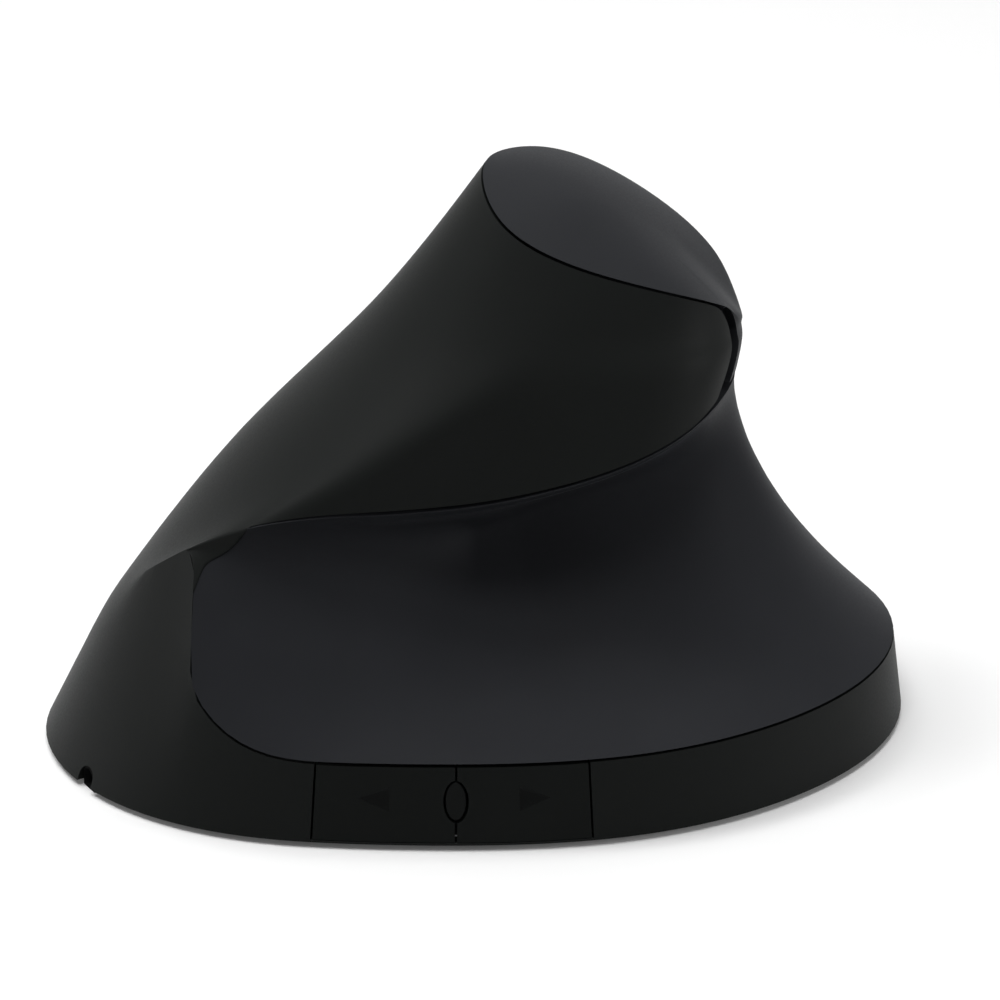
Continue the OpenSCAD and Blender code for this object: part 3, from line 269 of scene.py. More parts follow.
# Frame of the finger side: x runs to the tail, y down the face and z out of it
DECK_YAW, DECK_LEAN = math.radians(10), math.radians(16)
DECK_HOUR = 4.0
DECK_ORIGIN = fin(DECK_HOUR, (BEZEL_LOW + BEZEL_HIGH) / 2)
DECK_X = np.array([math.cos(DECK_YAW), math.sin(DECK_YAW), 0])
DECK_Y = np.array([-math.sin(DECK_YAW) * math.sin(DECK_LEAN), math.cos(DECK_YAW) * math.sin(DECK_LEAN),
                   -math.cos(DECK_LEAN)])
DECK_Z = np.array([-math.sin(DECK_YAW) * math.cos(DECK_LEAN), math.cos(DECK_YAW) * math.cos(DECK_LEAN),
                   math.sin(DECK_LEAN)])


# Meshes from grids of points
def column(count):
    """Even shares from 0 to 1, one for each row of a grid."""
    return np.linspace(0, 1, count)[:, None]


def dense_ends(count):
    """Shares from 0 to 1 for the rows of a grid, closer together at both ends."""
    return (1 - np.cos(np.linspace(0, math.pi, count)))[:, None] / 2


def grid_normals(grid, wrap=False):
    if wrap:
        along = np.roll(grid, -1, axis=1) - np.roll(grid, 1, axis=1)
    else:
        padded = np.concatenate([grid[:, :1], grid, grid[:, -1:]], axis=1)
        along = padded[:, 2:] - padded[:, :-2]
    padded = np.concatenate([grid[:1], grid, grid[-1:]])
    return unit(np.cross(along, padded[2:] - padded[:-2]))


def skin(outer, inner, wrap=False, keep=None, open_end=False):
    """Vertices and faces of a thick skin: an outer grid, an inner grid and walls round the kept cells.

    With an open end the last row gets no wall, so that other faces can close it.
    """
    rows, cols = outer.shape[:2]
    cells = cols if wrap else cols - 1
    keep = np.ones((rows - 1, cells), bool) if keep is None else keep
    half = rows * cols
    faces = []
    for j, i in zip(*np.nonzero(keep)):
        right, left = (i + 1) % cols, i - 1
        a, b = j * cols + i, j * cols + right
        c, d = b + cols, a + cols
        faces.append((a, b, c, d))
        faces.append((a + half, d + half, c + half, b + half))
        sides = (((a, b), j > 0 and keep[j - 1, i]),
                 ((b, c), (wrap or i + 1 < cells) and keep[j, (i + 1) % cells]),
                 ((c, d), keep[j + 1, i] if j + 2 < rows else open_end),
                 ((d, a), (wrap or i > 0) and keep[j, left]))
        for (p, q), joined in sides:
            if not joined:
                faces.append((p, p + half, q + half, q))
    return np.concatenate([outer.reshape(-1, 3), inner.reshape(-1, 3)]), faces


def make_piece(name, points, faces):
    """A smooth-shaded mesh object from points in millimetres, without the points that no face uses."""
    used = np.unique(np.concatenate([np.asarray(f) for f in faces]))
    place = np.full(len(points), -1)
    place[used] = np.arange(len(used))
    mesh = bpy.data.meshes.new(name)
    mesh.from_pydata((points[used] * MM).tolist(), [], [[int(place[v]) for v in f] for f in faces])
    mesh.validate()
    mesh.shade_smooth()
    piece = bpy.data.objects.new(name, mesh)
    bpy.context.collection.objects.link(piece)
    return piece


def soften(piece, width, segments=3, angle=38):
    """Rounds the edges of a moulding, width in millimetres."""
    bevel = piece.modifiers.new("rounded_edges", "BEVEL")
    bevel.width = width * MM
    bevel.segments = segments
    bevel.limit_method = "ANGLE"
    bevel.angle_limit = math.radians(angle)
    bevel.harden_normals = True


def cut(piece, *cutters):
    """Cuts pieces out of another for good, before its edges are rounded."""
    for cutter in cutters:
        boolean = piece.modifiers.new("cut", "BOOLEAN")
        boolean.operation = "DIFFERENCE"
        boolean.solver = "EXACT"
        boolean.object = cutter
    bpy.context.view_layer.update()
    shown = piece.evaluated_get(bpy.context.evaluated_depsgraph_get())
    piece.data = bpy.data.meshes.new_from_object(shown)
    piece.modifiers.clear()
    for cutter in cutters:
        bpy.data.objects.remove(cutter)


def prism(name, outline, origin, x_axis, y_axis, depth_axis, depth):
    """A closed prism of an outline drawn on two axes, both ways along the third."""
    flat = origin + np.outer(outline[:, 0], x_axis) + np.outer(outline[:, 1], y_axis)
    n = len(flat)
    points = np.concatenate([flat - depth * np.asarray(depth_axis), flat + depth * np.asarray(depth_axis)])
    sides = [(i, (i + 1) % n, n + (i + 1) % n, n + i) for i in range(n)]
    faces = sides + [tuple(range(n))[::-1], tuple(range(n, 2 * n))]
    turned = np.dot(np.cross(x_axis, y_axis), depth_axis) < 0
    return make_piece(name, points, [f[::-1] for f in faces] if turned else faces)


def stations(breaks, per_hour):
    """Hours with a steady step that fall on every break."""
    parts = [np.linspace(a, b, max(2, round((b - a) * per_hour)), endpoint=False)
             for a, b in zip(breaks, breaks[1:])]
    return np.concatenate(parts)


# Shells: rows and columns of their grids, and how far their folds are smoothed
HOUR_STEPS = 12
WALL_ROWS, FIN_ROWS = 9, 44
SADDLE_ROWS, SADDLE_COLS = 46, 119
NOSE_COLS, NOSE_TIP = 14, 5
FOLD_BELOW, FOLD_ABOVE = 3, 12
FOLD_PASSES, ROLL_RATE = 30, 0.5

# Front of the saddle and the nose before it: hours and shares, then a seam and walls in millimetres
SADDLE_FRONT, FRONT_ROUND, FRONT_LEVEL = 6.96, 0.22, 0.45
FOLD_END, FOLD_BLEND, NOSE_BLEND = 6.25, 0.3, 0.08
LIP_SHARE = 0.97
FRONT_SEAM, NOSE_WALL, NOSE_PROUD = 0.06, 0.7, 0.08


def saddle_front(share):
    """Hour of the saddle's rounded front end, by share of the scoop."""
    return SADDLE_FRONT + FRONT_ROUND * clamp((share - FRONT_LEVEL) / (1 - FRONT_LEVEL)) ** 2


def rolled(band, share, passes):
    """A band of rows rounded across its crease."""
    band = band.copy()
    for _ in range(passes):
        band[1:-1] += ROLL_RATE * share * ((band[2:] + band[:-2]) / 2 - band[1:-1])
    return band


def shell_normals(hours, outer, wall_grid, fin_grid):
    """Normals of the main shell, whose wall and panel part where the saddle lies between them."""
    normals = grid_normals(outer, True)
    split = hours > SADDLE_FIRST
    normals[:WALL_ROWS, split] = grid_normals(wall_grid, True)[:, split]
    normals[WALL_ROWS, split] = grid_normals(fin_grid, True)[0, split]
    on_lip = split & (hours < TONGUE_HOUR)
    under = surface_normal(scoop, hours[on_lip], LIP_SHARE)
    past_front = ease((hours[on_lip] - SADDLE_FRONT) / FRONT_ROUND)
    normals[WALL_ROWS, on_lip] = unit(mix_points(normals[WALL_ROWS, on_lip], under, past_front))
    normals[0, :, 2] = 0
    return normals


def shell_cells(hours, rows):
    """Which cells of the main shell's grid are moulded: wall, fold at the nose and thumb panel."""
    middle = (hours + np.append(hours[1:], SADDLE_LAST)) / 2
    row = np.arange(rows)[:, None]
    wall = (middle < KEY_FIRST) | (middle > KEY_LAST)
    fold = middle < SADDLE_FIRST
    panel = (middle > BUTTON_FRONT) & (middle < TONGUE_HOUR)
    return np.where(row < WALL_ROWS - 1, wall, np.where(row == WALL_ROWS - 1, fold, panel))


def main_shell():
    """Rim, nose and thumb panel in one moulding, open for the saddle, the keys and the finger side."""
    breaks = [SADDLE_LAST - CLOCK, BUTTON_FRONT, SADDLE_FIRST, KEY_FIRST, KEY_LAST, TONGUE_HOUR, SADDLE_LAST]
    hours = stations(breaks, HOUR_STEPS)
    high = dense_ends(FIN_ROWS)
    past_keys = (hours > KEY_LAST) & (hours <= TONGUE_HOUR)
    to_seam = mix(KEY_LAST, tongue_seam(high), (hours - KEY_LAST) / (TONGUE_HOUR - KEY_LAST))
    panel_hours = np.where(past_keys, to_seam, hours)
    on_nose = (hours > BUTTON_FRONT) & (hours < SADDLE_FRONT + NOSE_BLEND)
    closed = np.where(on_nose, 1 - ease((hours - SADDLE_FRONT) / NOSE_BLEND), 0)
    wall_grid = side_wall(hours, column(WALL_ROWS) * mix(wall_top(hours), 1.0, closed))
    fin_grid = fin(panel_hours, high * fin_top(panel_hours))
    outer = np.concatenate([wall_grid, fin_grid])
    fold = slice(WALL_ROWS - FOLD_BELOW, WALL_ROWS + FOLD_ABOVE)
    from_buttons = ease((hours - BUTTON_FRONT) / PRESS_BLEND)
    on_fold = from_buttons * (1 - ease((hours - FOLD_END) / FOLD_BLEND))
    outer[fold] = rolled(outer[fold], on_fold[None, :, None], FOLD_PASSES)
    press = np.ones(outer.shape[:2])
    press[WALL_ROWS:] = from_buttons
    normals = shell_normals(hours, outer, wall_grid, fin_grid)
    inner = outer - WALL * unit(mix_points(DECK_Z, normals, press))
    return make_piece("main_shell_skin", *skin(outer, inner, True, shell_cells(hours, len(outer) - 1)))


def nose_corner():
    """The end of the nose between its fold and the saddle's rounded front."""
    shares = column(SADDLE_ROWS)
    front = saddle_front(shares)
    end = front - hour_step(scoop, front, shares, FRONT_SEAM)
    hours = mix(SADDLE_FIRST, end, np.linspace(0, 1, NOSE_COLS))
    outer = scoop(hours, shares)
    outer[-1] = fin(hours[-1], 0.0)
    normals = grid_normals(outer)
    normals[:, :NOSE_TIP] = normals[:, NOSE_TIP:NOSE_TIP + 1]
    inner = outer - NOSE_WALL * normals
    outer = outer + NOSE_PROUD * normals
    outer = np.concatenate([outer[:1] - NOSE_WALL * UP, outer])
    return make_piece("nose_corner", *skin(outer, np.concatenate([inner[:1], inner])))


# Cable inlet at the foot of the nose: its place and turn, then sizes in millimetres
INLET_HOUR, INLET_TURN = 6.6, math.radians(208)
INLET_R, INLET_Z = 1.6, 1.8
INLET_FOOT, INLET_LIP, INLET_PLAY = 0.1, 0.35, 0.05
INLET_RECESS, INLET_BACK = 0.9, 6.5
BORE_OVERCUT, BORE_FLOOR = 1.0, 1.0
NOTCH_FOOT, NOTCH_DEPTH = -1.0, 6.0
ARCH_POINTS = 25


def inlet_prism(name, radius, foot, front, back):
    """A prism along the inlet, round above and square below, between two depths behind the rim."""
    turn = np.linspace(0, math.pi, ARCH_POINTS)
    arch = np.stack([radius * np.cos(turn), radius * np.sin(turn)], -1)
    outline = np.concatenate([arch, [[-radius, foot - INLET_Z], [radius, foot - INLET_Z]]])
    place = rim(INLET_HOUR, SHELL_Z)
    axis = np.array([math.cos(INLET_TURN), math.sin(INLET_TURN), 0])
    side = np.array([-axis[1], axis[0], 0])
    centre = np.array([place[0], place[1], INLET_Z]) - axis * (front + back) / 2
    return prism(name, outline, centre, side, UP, axis, (back - front) / 2)


def inlet_cutter():
    """The notch at the foot of the nose: a round hole that is open below."""
    return inlet_prism("inlet_cutter", INLET_R, NOTCH_FOOT, -NOTCH_DEPTH, NOTCH_DEPTH)


def grommet():
    """Rubber grommet in the notch, with a blind hole for the cable."""
    piece = inlet_prism("grommet_skin", INLET_R - INLET_PLAY, INLET_FOOT, INLET_RECESS, INLET_BACK)
    cut(piece, inlet_prism("grommet_bore", INLET_R - INLET_LIP, INLET_FOOT + INLET_LIP,
                           INLET_RECESS - BORE_OVERCUT, INLET_BACK - BORE_FLOOR))
    return piece


# Cap and palm side: counts, then shares for their roll, press and groove
PALM_COLS, LID_COLS, CAP_ROWS = 54, 90, 26
CAP_SAMPLES, CAP_WAVES = 144, 25
ROLL_ROWS, ROLL_PASSES = 14, 60
ROLL_FROM, ROLL_TO, ROLL_FADE = 0.05, 0.4, 0.25
CAP_END, LID_EDGE, PALM_PRESS = 0.97, 0.97, 0.3
GROOVE_FLARE, FLARE_LEVEL = 0.7, 0.75


def cap_point(hour, share):
    """A point of the crowned cap, from its edge to its middle."""
    tail, fingers, nose, thumb = (ring(CROWN_RING, at) for at in (TAIL, FINGERS, NOSE, THUMB))
    middle = (tail + nose + thumb + fingers) / 4
    slope = np.array([(tail[2] - nose[2]) / (tail[0] - nose[0]),
                      (fingers[2] - thumb[2]) / (fingers[1] - thumb[1])])

    def plane(p):
        return middle[2] + (p[..., :2] - middle[:2]) @ slope

    p = mix_points(ring(CROWN_RING, hour), middle, share)
    edge_points = ring(CROWN_RING, np.arange(CAP_SAMPLES) * CLOCK / CAP_SAMPLES)
    waves = np.fft.rfft(edge_points[:, 2] - plane(edge_points)) / CAP_SAMPLES
    z = plane(p) + CAP_RISE * (1 - (1 - share) ** 2)
    for n, wave in enumerate(waves[:CAP_WAVES]):
        height = np.real(wave * np.exp(1j * n * hour * math.radians(HOUR_DEGREES))) * (1 if n == 0 else 2)
        z = z + height * (1 - share) ** max(n, 2)
    return np.concatenate([p[..., :2], z[..., None]], -1)


def crown_shell():
    """Cap and palm side: the cap rolls over the rear of the crown into the palm side."""
    shares = dense_ends(FIN_ROWS)
    level = mix(share_step(fin, TONGUE_HOUR, 0.0, LEDGE_GAP), 1.0, shares)
    groove = GROOVE * (1 + GROOVE_FLARE * (1 - ease(level / FLARE_LEVEL)))
    start = tongue_seam(level) + hour_step(fin, tongue_seam(level), level, groove)
    end = CLOCK + rear_seam(shares) - hour_step(fin, rear_seam(shares), shares, SEAM)
    along = np.linspace(0, 1, PALM_COLS)
    palm_hours = mix(start, end, along)
    foot = share_step(fin, palm_hours, 0.0, LEDGE_GAP)
    palm = fin(palm_hours, mix(foot, 1.0, shares))
    lid_hours = np.linspace(end[-1, 0], start[-1, 0] + CLOCK, LID_COLS)[1:-1]
    lid = np.broadcast_to(fin(lid_hours, 1.0), (FIN_ROWS, len(lid_hours), 3))
    hours = np.concatenate([palm_hours[-1], lid_hours])
    cap = cap_point(*np.broadcast_arrays(hours, column(CAP_ROWS)[1:] * CAP_END))
    outer = np.concatenate([np.concatenate([palm, lid], axis=1), cap])
    near = slice(FIN_ROWS - 1 - ROLL_ROWS, FIN_ROWS + ROLL_ROWS)
    share = (ease(along / ROLL_FROM) * (1 - ease((along - ROLL_TO) / ROLL_FADE)))[None, :, None]
    strip = outer[near, :PALM_COLS]
    swollen = strip + (strip - rolled(strip, share, ROLL_PASSES))
    outer[near, :PALM_COLS] = rolled(swollen, share, ROLL_PASSES)
    normals = grid_normals(outer, True)
    normals[FIN_ROWS - 1, PALM_COLS:] = surface_normal(fin, lid_hours, LID_EDGE)
    press = ease(1 - (1 - along) / PALM_PRESS)[None, :]
    palm_normals = grid_normals(outer[:FIN_ROWS, :PALM_COLS])
    outward = unit(mix_points(palm_normals, DECK_Z, press))
    normals[:FIN_ROWS - ROLL_ROWS, :PALM_COLS] = outward[:FIN_ROWS - ROLL_ROWS]
    inner = outer - LID_WALL * normals
    cols = len(hours)
    keep = np.ones((len(outer) - 1, cols), bool)
    keep[:FIN_ROWS - 1, PALM_COLS - 1:] = False
    points, faces = skin(outer, inner, True, keep, open_end=True)
    half = len(outer) * cols
    peak = cap_point(np.array(0.0), np.array(1.0))
    points = np.concatenate([points, [peak, peak - LID_WALL * UP]])
    for i in range(cols):
        a, b = half - cols + i, half - cols + (i + 1) % cols
        faces.append((a, b, 2 * half))
        faces.append((b + half, a + half, 2 * half + 1))
    return make_piece("crown_shell", points, faces)


SADDLE_INSET = 0.05
WALL_EDGE = 0.98


def thumb_saddle():
    """The scoop that carries thumb and palm, from the flange edge to behind the lip of the fin."""
    shares = column(SADDLE_ROWS)
    hours = mix(saddle_front(shares), SADDLE_LAST - SADDLE_INSET, np.linspace(0, 1, SADDLE_COLS))
    outer = scoop(hours, shares)
    from_ends = np.minimum(hours - SADDLE_FIRST, SADDLE_LAST - hours)
    thick = LID_WALL * mix(THIN_SHARE, 1.0, ease(from_ends / THIN_HOURS))
    inner = outer - thick[..., None] * grid_normals(outer)
    flat = ledge_drop(hours[0]) / LID_WALL
    square = mix_points(surface_normal(side_wall, hours[0], WALL_EDGE), UP, flat)
    inner[0] = outer[0] - thick[0][:, None] * unit(square)
    return make_piece("saddle_skin", *skin(outer, inner))


def finger_patch(name, low, high, cols, rows, gap_low, gap_high, gap):
    """A patch of the finger side, cut square to the face so that it can be pressed straight in."""
    up = column(rows)
    level = mix(low, high, up)
    rear = rear_seam(level)
    first = rear + hour_step(fin, rear, level, gap)
    last = BUTTON_FRONT - hour_step(fin, BUTTON_FRONT, level, gap)
    hours = mix(first, last, np.linspace(0, 1, cols))
    ceiling = fin_top(hours) if high == 1 else high
    top = ceiling - share_step(fin, hours, high, gap_high)
    outer = fin(hours, mix(low + share_step(fin, hours, low, gap_low), top, up))
    return make_piece(name, *skin(outer, outer - WALL * DECK_Z))


WHEEL_R, WHEEL_WIDTH, WHEEL_STAND, WHEEL_GAP = 11.5, 6.0, 3.5, 0.6
SLOT_SAG, SLOT_CORNER, SLOT_DEPTH = 2.8, 1.2, 10.0
CORNER_POINTS = 7


def wheel_slot():
    """A slot with round corners for the scroll wheel."""
    chord = 2 * math.sqrt(WHEEL_R ** 2 - (WHEEL_R - WHEEL_STAND - WALL - SLOT_SAG) ** 2) + 2 * WHEEL_GAP
    half = np.array([chord / 2, WHEEL_WIDTH / 2 + WHEEL_GAP])
    quarter_turn = math.pi / 2
    outline = []
    for quarter, sign in enumerate(((1, 1), (-1, 1), (-1, -1), (1, -1))):
        for turn in np.linspace(0, quarter_turn, CORNER_POINTS) + quarter * quarter_turn:
            centre = (half - SLOT_CORNER) * sign
            outline.append(centre + SLOT_CORNER * np.array([math.cos(turn), math.sin(turn)]))
    return prism("slot_cutter", np.array(outline), DECK_ORIGIN, DECK_X, DECK_Y, DECK_Z, SLOT_DEPTH)


# Speed keys, the sill below them and the window between them: counts, millimetres and shares
KEY_ROWS, KEY_COLS = 12, 24
KEY_SEAM, KEY_TOP_GAP = 0.3, 0.1
KEY_LEVEL, KEY_TOP_LEVEL = 0.5, 0.8
SILL_ROWS, SILL_COLS = 3, 48
SILL, SILL_GAP, SILL_ROOT, SILL_SUNK, SILL_DEPTH = 0.3, 0.12, 0.5, 0.02, 2.6
LENS_WIDTH, LENS_HEIGHT, LENS_Z = 2.8, 5.4, 7.0
LENS_RING, LENS_CUT = 0.28, 4.0
# Rings of the window from its root to its middle: share of its width and height, and depth below the rim
LENS_LEVELS = ((1.0, 1.6), (1.0, 0.3), (0.97, 0.16), (0.9, 0.1), (0.6, 0.05), (0.3, 0.02))


def oval(width, height, count=40):
    turn = np.linspace(0, 2 * math.pi, count, endpoint=False)
    return np.stack([width / 2 * np.cos(turn), height / 2 * np.sin(turn)], -1)


def lens_cutter():
    """The opening for the window, with a dark gap round it."""
    place = side_wall(KEY_MIDDLE, KEY_LEVEL)
    outline = oval(LENS_WIDTH + 2 * LENS_RING, LENS_HEIGHT + 2 * LENS_RING)
    centre = np.array([place[0], place[1], LENS_Z])
    return prism("lens_cutter", outline, centre, X_AXIS, UP, -Y_AXIS, LENS_CUT)


def speed_key(name, first, last):
    """A key flush in the rim, from the sill to the saddle's seam."""
    def seam(hour):
        return hour_step(side_wall, hour, KEY_LEVEL, KEY_SEAM / 2 if hour == KEY_MIDDLE else KEY_SEAM)

    hours = np.linspace(first + seam(first), last - seam(last), KEY_COLS)
    high = wall_top(hours) - share_step(side_wall, hours, KEY_TOP_LEVEL, KEY_TOP_GAP)
    low = share_step(side_wall, hours, 0.0, SILL + SILL_GAP)
    outer = side_wall(hours, mix(low, high, column(KEY_ROWS)))
    return make_piece(name, *skin(outer, outer - WALL * grid_normals(outer)))


def key_sill():
    """The thin bridge of the rim below both keys, rooted in the rim at its ends."""
    first = KEY_FIRST - hour_step(side_wall, KEY_FIRST, 0.0, SILL_ROOT)
    last = KEY_LAST + hour_step(side_wall, KEY_LAST, 0.0, SILL_ROOT)
    hours = np.linspace(first, last, SILL_COLS)
    outer = side_wall(hours, share_step(side_wall, hours, 0.0, SILL) * column(SILL_ROWS))
    normals = grid_normals(outer)
    return make_piece("key_sill", *skin(outer - SILL_SUNK * normals, outer - SILL_DEPTH * normals))


def indicator_lens():
    """An oval window with a slightly domed face, set just below the rim's face."""
    place = side_wall(KEY_MIDDLE, KEY_LEVEL)
    rings = []
    for size, depth in LENS_LEVELS:
        flat = oval(LENS_WIDTH * size, LENS_HEIGHT * size)
        lean = RIM_DRAFT / (FLANGE_Z - SHELL_Z) * (flat[:, 1] + LENS_Z - place[2])
        rings.append(np.stack([place[0] + flat[:, 0], place[1] + depth + lean, LENS_Z + flat[:, 1]], -1))
    n, last = len(rings[0]), len(rings) - 1
    faces = [(j * n + i, j * n + (i + 1) % n, (j + 1) * n + (i + 1) % n, (j + 1) * n + i)
             for j in range(last) for i in range(n)]
    faces.append(tuple(range(last * n, (last + 1) * n)))
    faces.append(tuple(range(n))[::-1])
    return make_piece("indicator_window", np.concatenate(rings), faces)


ARROW_ROWS, ARROW_COLS, ARROW_SAMPLES = 7, 9, 200
ARROW_LENGTH, ARROW_HEIGHT, ARROW_Z = 4.0, 3.4, 7.4
ARROW_PROUD, ARROW_ROOT = 0.03, 0.12
ARROW_TIP, ARROW_LEVEL = 0.02, 0.55
DOWN_ARROW_X, UP_ARROW_X = -14.0, 3.2


def key_arrow(name, base_x, way):
    """A plain triangle printed on a key, following the curve of the rim."""
    along = np.linspace(0, 1, ARROW_COLS)
    half = ARROW_HEIGHT / 2 * np.maximum(1 - along, ARROW_TIP)
    z = ARROW_Z + np.linspace(-1, 1, ARROW_ROWS)[:, None] * half
    x = np.broadcast_to(mix(base_x, base_x + way * ARROW_LENGTH, along), z.shape)
    hours = np.linspace(KEY_FIRST, KEY_LAST, ARROW_SAMPLES)
    share = (z - SHELL_Z) / (FLANGE_Z - SHELL_Z)
    hour = np.interp(x, side_wall(hours, ARROW_LEVEL)[:, 0], hours)
    surface = side_wall(hour, share)
    normal = surface_normal(side_wall, hour, share)
    if way < 0:
        surface, normal = surface[:, ::-1], normal[:, ::-1]
    return make_piece(name, *skin(surface + ARROW_PROUD * normal, surface - ARROW_ROOT * normal))


# Materials
NOISE_RANGE = (0.3, 0.7)
GLOSS_SPREAD, STEEL_SPREAD, WINDOW_SPREAD = 0.04, 0.06, 0.03


def new_material(name):
    material = bpy.data.materials.new(name)
    material.use_nodes = True
    tree = material.node_tree
    return material, tree, tree.nodes["Principled BSDF"]


def add_node(tree, kind, settings):
    """A node with the values of its sockets by name."""
    node = tree.nodes.new(kind)
    for name, value in settings.items():
        node.inputs[name].default_value = value
    return node


def texture(tree, kind, settings):
    """A texture laid out in the object's own coordinates."""
    place = tree.nodes.new("ShaderNodeTexCoord")
    node = add_node(tree, kind, settings)
    tree.links.new(place.outputs["Object"], node.inputs["Vector"])
    return node


def noise(tree, scale, detail=2.0, roughness=0.5):
    settings = {"Scale": scale, "Detail": detail, "Roughness": roughness}
    return texture(tree, "ShaderNodeTexNoise", settings).outputs["Fac"]


def between(tree, factor, low, high):
    """A number that follows a factor from low to high."""
    node = add_node(tree, "ShaderNodeMapRange", {"From Min": NOISE_RANGE[0], "From Max": NOISE_RANGE[1],
                                                 "To Min": low, "To Max": high})
    tree.links.new(factor, node.inputs["Value"])
    return node.outputs["Result"]


def tints(tree, factor, dark, light):
    """A colour that follows a factor from dark to light."""
    node = tree.nodes.new("ShaderNodeValToRGB")
    for stop, position, colour in zip(node.color_ramp.elements, NOISE_RANGE, (dark, light)):
        stop.position = position
        stop.color = (*colour, 1)
    tree.links.new(factor, node.inputs["Fac"])
    return node.outputs["Color"]


def shade(tree, shader, factor, colour, darker, lighter):
    """Base colour that follows a factor from a darker to a lighter shade."""
    shades = [tuple(c * k for c in colour) for k in (darker, lighter)]
    tree.links.new(tints(tree, factor, *shades), shader.inputs["Base Color"])


def gloss(tree, shader, factor, low, high):
    """Roughness that follows a factor from low to high."""
    tree.links.new(between(tree, factor, low, high), shader.inputs["Roughness"])


def bump(tree, shader, height, depth_mm):
    node = add_node(tree, "ShaderNodeBump", {"Strength": 1.0, "Distance": depth_mm * MM})
    tree.links.new(height, node.inputs["Height"])
    tree.links.new(node.outputs["Normal"], shader.inputs["Normal"])


def moulded(name, colour, roughness, specular, grain_mm=0.3, grain_depth=0.006, sheen=0.0):
    """Moulded plastic with a fine spark-eroded grain and slightly uneven gloss."""
    material, tree, shader = new_material(name)
    shade(tree, shader, noise(tree, scale=45, detail=3.0), colour, darker=0.92, lighter=1.08)
    grain = noise(tree, scale=1 / (grain_mm * MM), roughness=0.6)
    gloss(tree, shader, grain, roughness - GLOSS_SPREAD, roughness + GLOSS_SPREAD)
    shader.inputs["Specular IOR Level"].default_value = specular
    if sheen:
        shader.inputs["Sheen Weight"].default_value = sheen
        shader.inputs["Sheen Roughness"].default_value = 0.5
    bump(tree, shader, grain, grain_depth)
    return material


def metal(name, colour, roughness):
    """Turned or plated steel with a fine mottle."""
    material, tree, shader = new_material(name)
    mottle = noise(tree, scale=1500, detail=4.0, roughness=0.7)
    shader.inputs["Metallic"].default_value = 1.0
    shade(tree, shader, mottle, colour, darker=0.9, lighter=1.05)
    gloss(tree, shader, mottle, roughness - STEEL_SPREAD, roughness + STEEL_SPREAD)
    bump(tree, shader, mottle, depth_mm=0.004)
    return material


def circuit_board(name):
    """Green solder mask over copper tracks."""
    material, tree, shader = new_material(name)
    tracks = texture(tree, "ShaderNodeTexBrick", {
        "Scale": 260, "Mortar Size": 0.035, "Mortar": (0.035, 0.160, 0.070, 1),
        "Color1": (0.010, 0.075, 0.035, 1), "Color2": (0.014, 0.090, 0.042, 1)})
    tree.links.new(tracks.outputs["Color"], shader.inputs["Base Color"])
    gloss(tree, shader, noise(tree, scale=400), low=0.3, high=0.42)
    bump(tree, shader, tracks.outputs["Fac"], depth_mm=0.02)
    return material


def ribbon_cable(name):
    """Pale film with conductors that run along it."""
    material, tree, shader = new_material(name)
    lines = texture(tree, "ShaderNodeTexWave", {"Scale": 320}).outputs["Fac"]
    film = tints(tree, lines, dark=(0.35, 0.36, 0.38), light=(0.62, 0.63, 0.64))
    tree.links.new(film, shader.inputs["Base Color"])
    gloss(tree, shader, noise(tree, scale=300), low=0.35, high=0.5)
    bump(tree, shader, lines, depth_mm=0.02)
    return material


def window(name, colour, roughness, transmission, specular=0.5):
    """Smoked or clear moulded window."""
    material, tree, shader = new_material(name)
    cloud = noise(tree, scale=200)
    shade(tree, shader, cloud, colour, darker=0.9, lighter=1.1)
    gloss(tree, shader, cloud, roughness - WINDOW_SPREAD, roughness + WINDOW_SPREAD)
    shader.inputs["Transmission Weight"].default_value = transmission
    shader.inputs["Specular IOR Level"].default_value = specular
    bump(tree, shader, noise(tree, scale=2500), depth_mm=0.002)
    return material


# Plastics and rubbers: colour, roughness, specular level, then size and depth of the grain in millimetres
shell_black = moulded("shell_black", (0.0074, 0.0084, 0.0080), 0.48, 0.07)
key_black = moulded("key_black", (0.0062, 0.0071, 0.0067), 0.48, 0.06)
button_black = moulded("button_black", (0.0065, 0.0072, 0.0070), 0.48, 0.1)
cap_grey = moulded("cap_charcoal", (0.0200, 0.0210, 0.0235), 0.5, 0.04)
saddle_grey = moulded("saddle_soft", (0.0225, 0.0235, 0.0265), 0.5, 0.03, 0.35, 0.008)
bezel_black = moulded("bezel_gloss", (0.004, 0.004, 0.0045), 0.14, 0.5, 0.5, 0.001)
arrow_black = moulded("arrow_print", (0.0035, 0.0039, 0.0038), 0.5, 0.05, 0.2, 0.002)
base_black = moulded("base_grain", (0.012, 0.0125, 0.013), 0.6, 0.3, 0.5, 0.02)
feet_white = moulded("feet_ptfe", (0.60, 0.60, 0.58), 0.35, 0.4, 0.4, 0.003)
rubber_black = moulded("grommet_rubber", (0.0030, 0.0030, 0.0033), 0.75, 0.03, 0.4, 0.015)
tyre_rubber = moulded("tyre_rubber", (0.012, 0.012, 0.013), 0.7, 0.25, 0.35, 0.015, sheen=0.1)
frame_grey = moulded("frame_grey", (0.06, 0.065, 0.07), 0.55, 0.35)
hub_grey = moulded("hub_grey", (0.030, 0.030, 0.033), 0.45, 0.4)
encoder_green = moulded("encoder_green", (0.03, 0.10, 0.06), 0.45, 0.4)
switch_black = moulded("switch_black", (0.022, 0.023, 0.026), 0.5, 0.35)
plunger_tan = moulded("plunger_tan", (0.50, 0.34, 0.15), 0.4, 0.4)
chip_black = moulded("chip_black", (0.012, 0.012, 0.014), 0.6, 0.3, 0.15, 0.01)
socket_cream = moulded("socket_cream", (0.62, 0.58, 0.48), 0.5, 0.4)

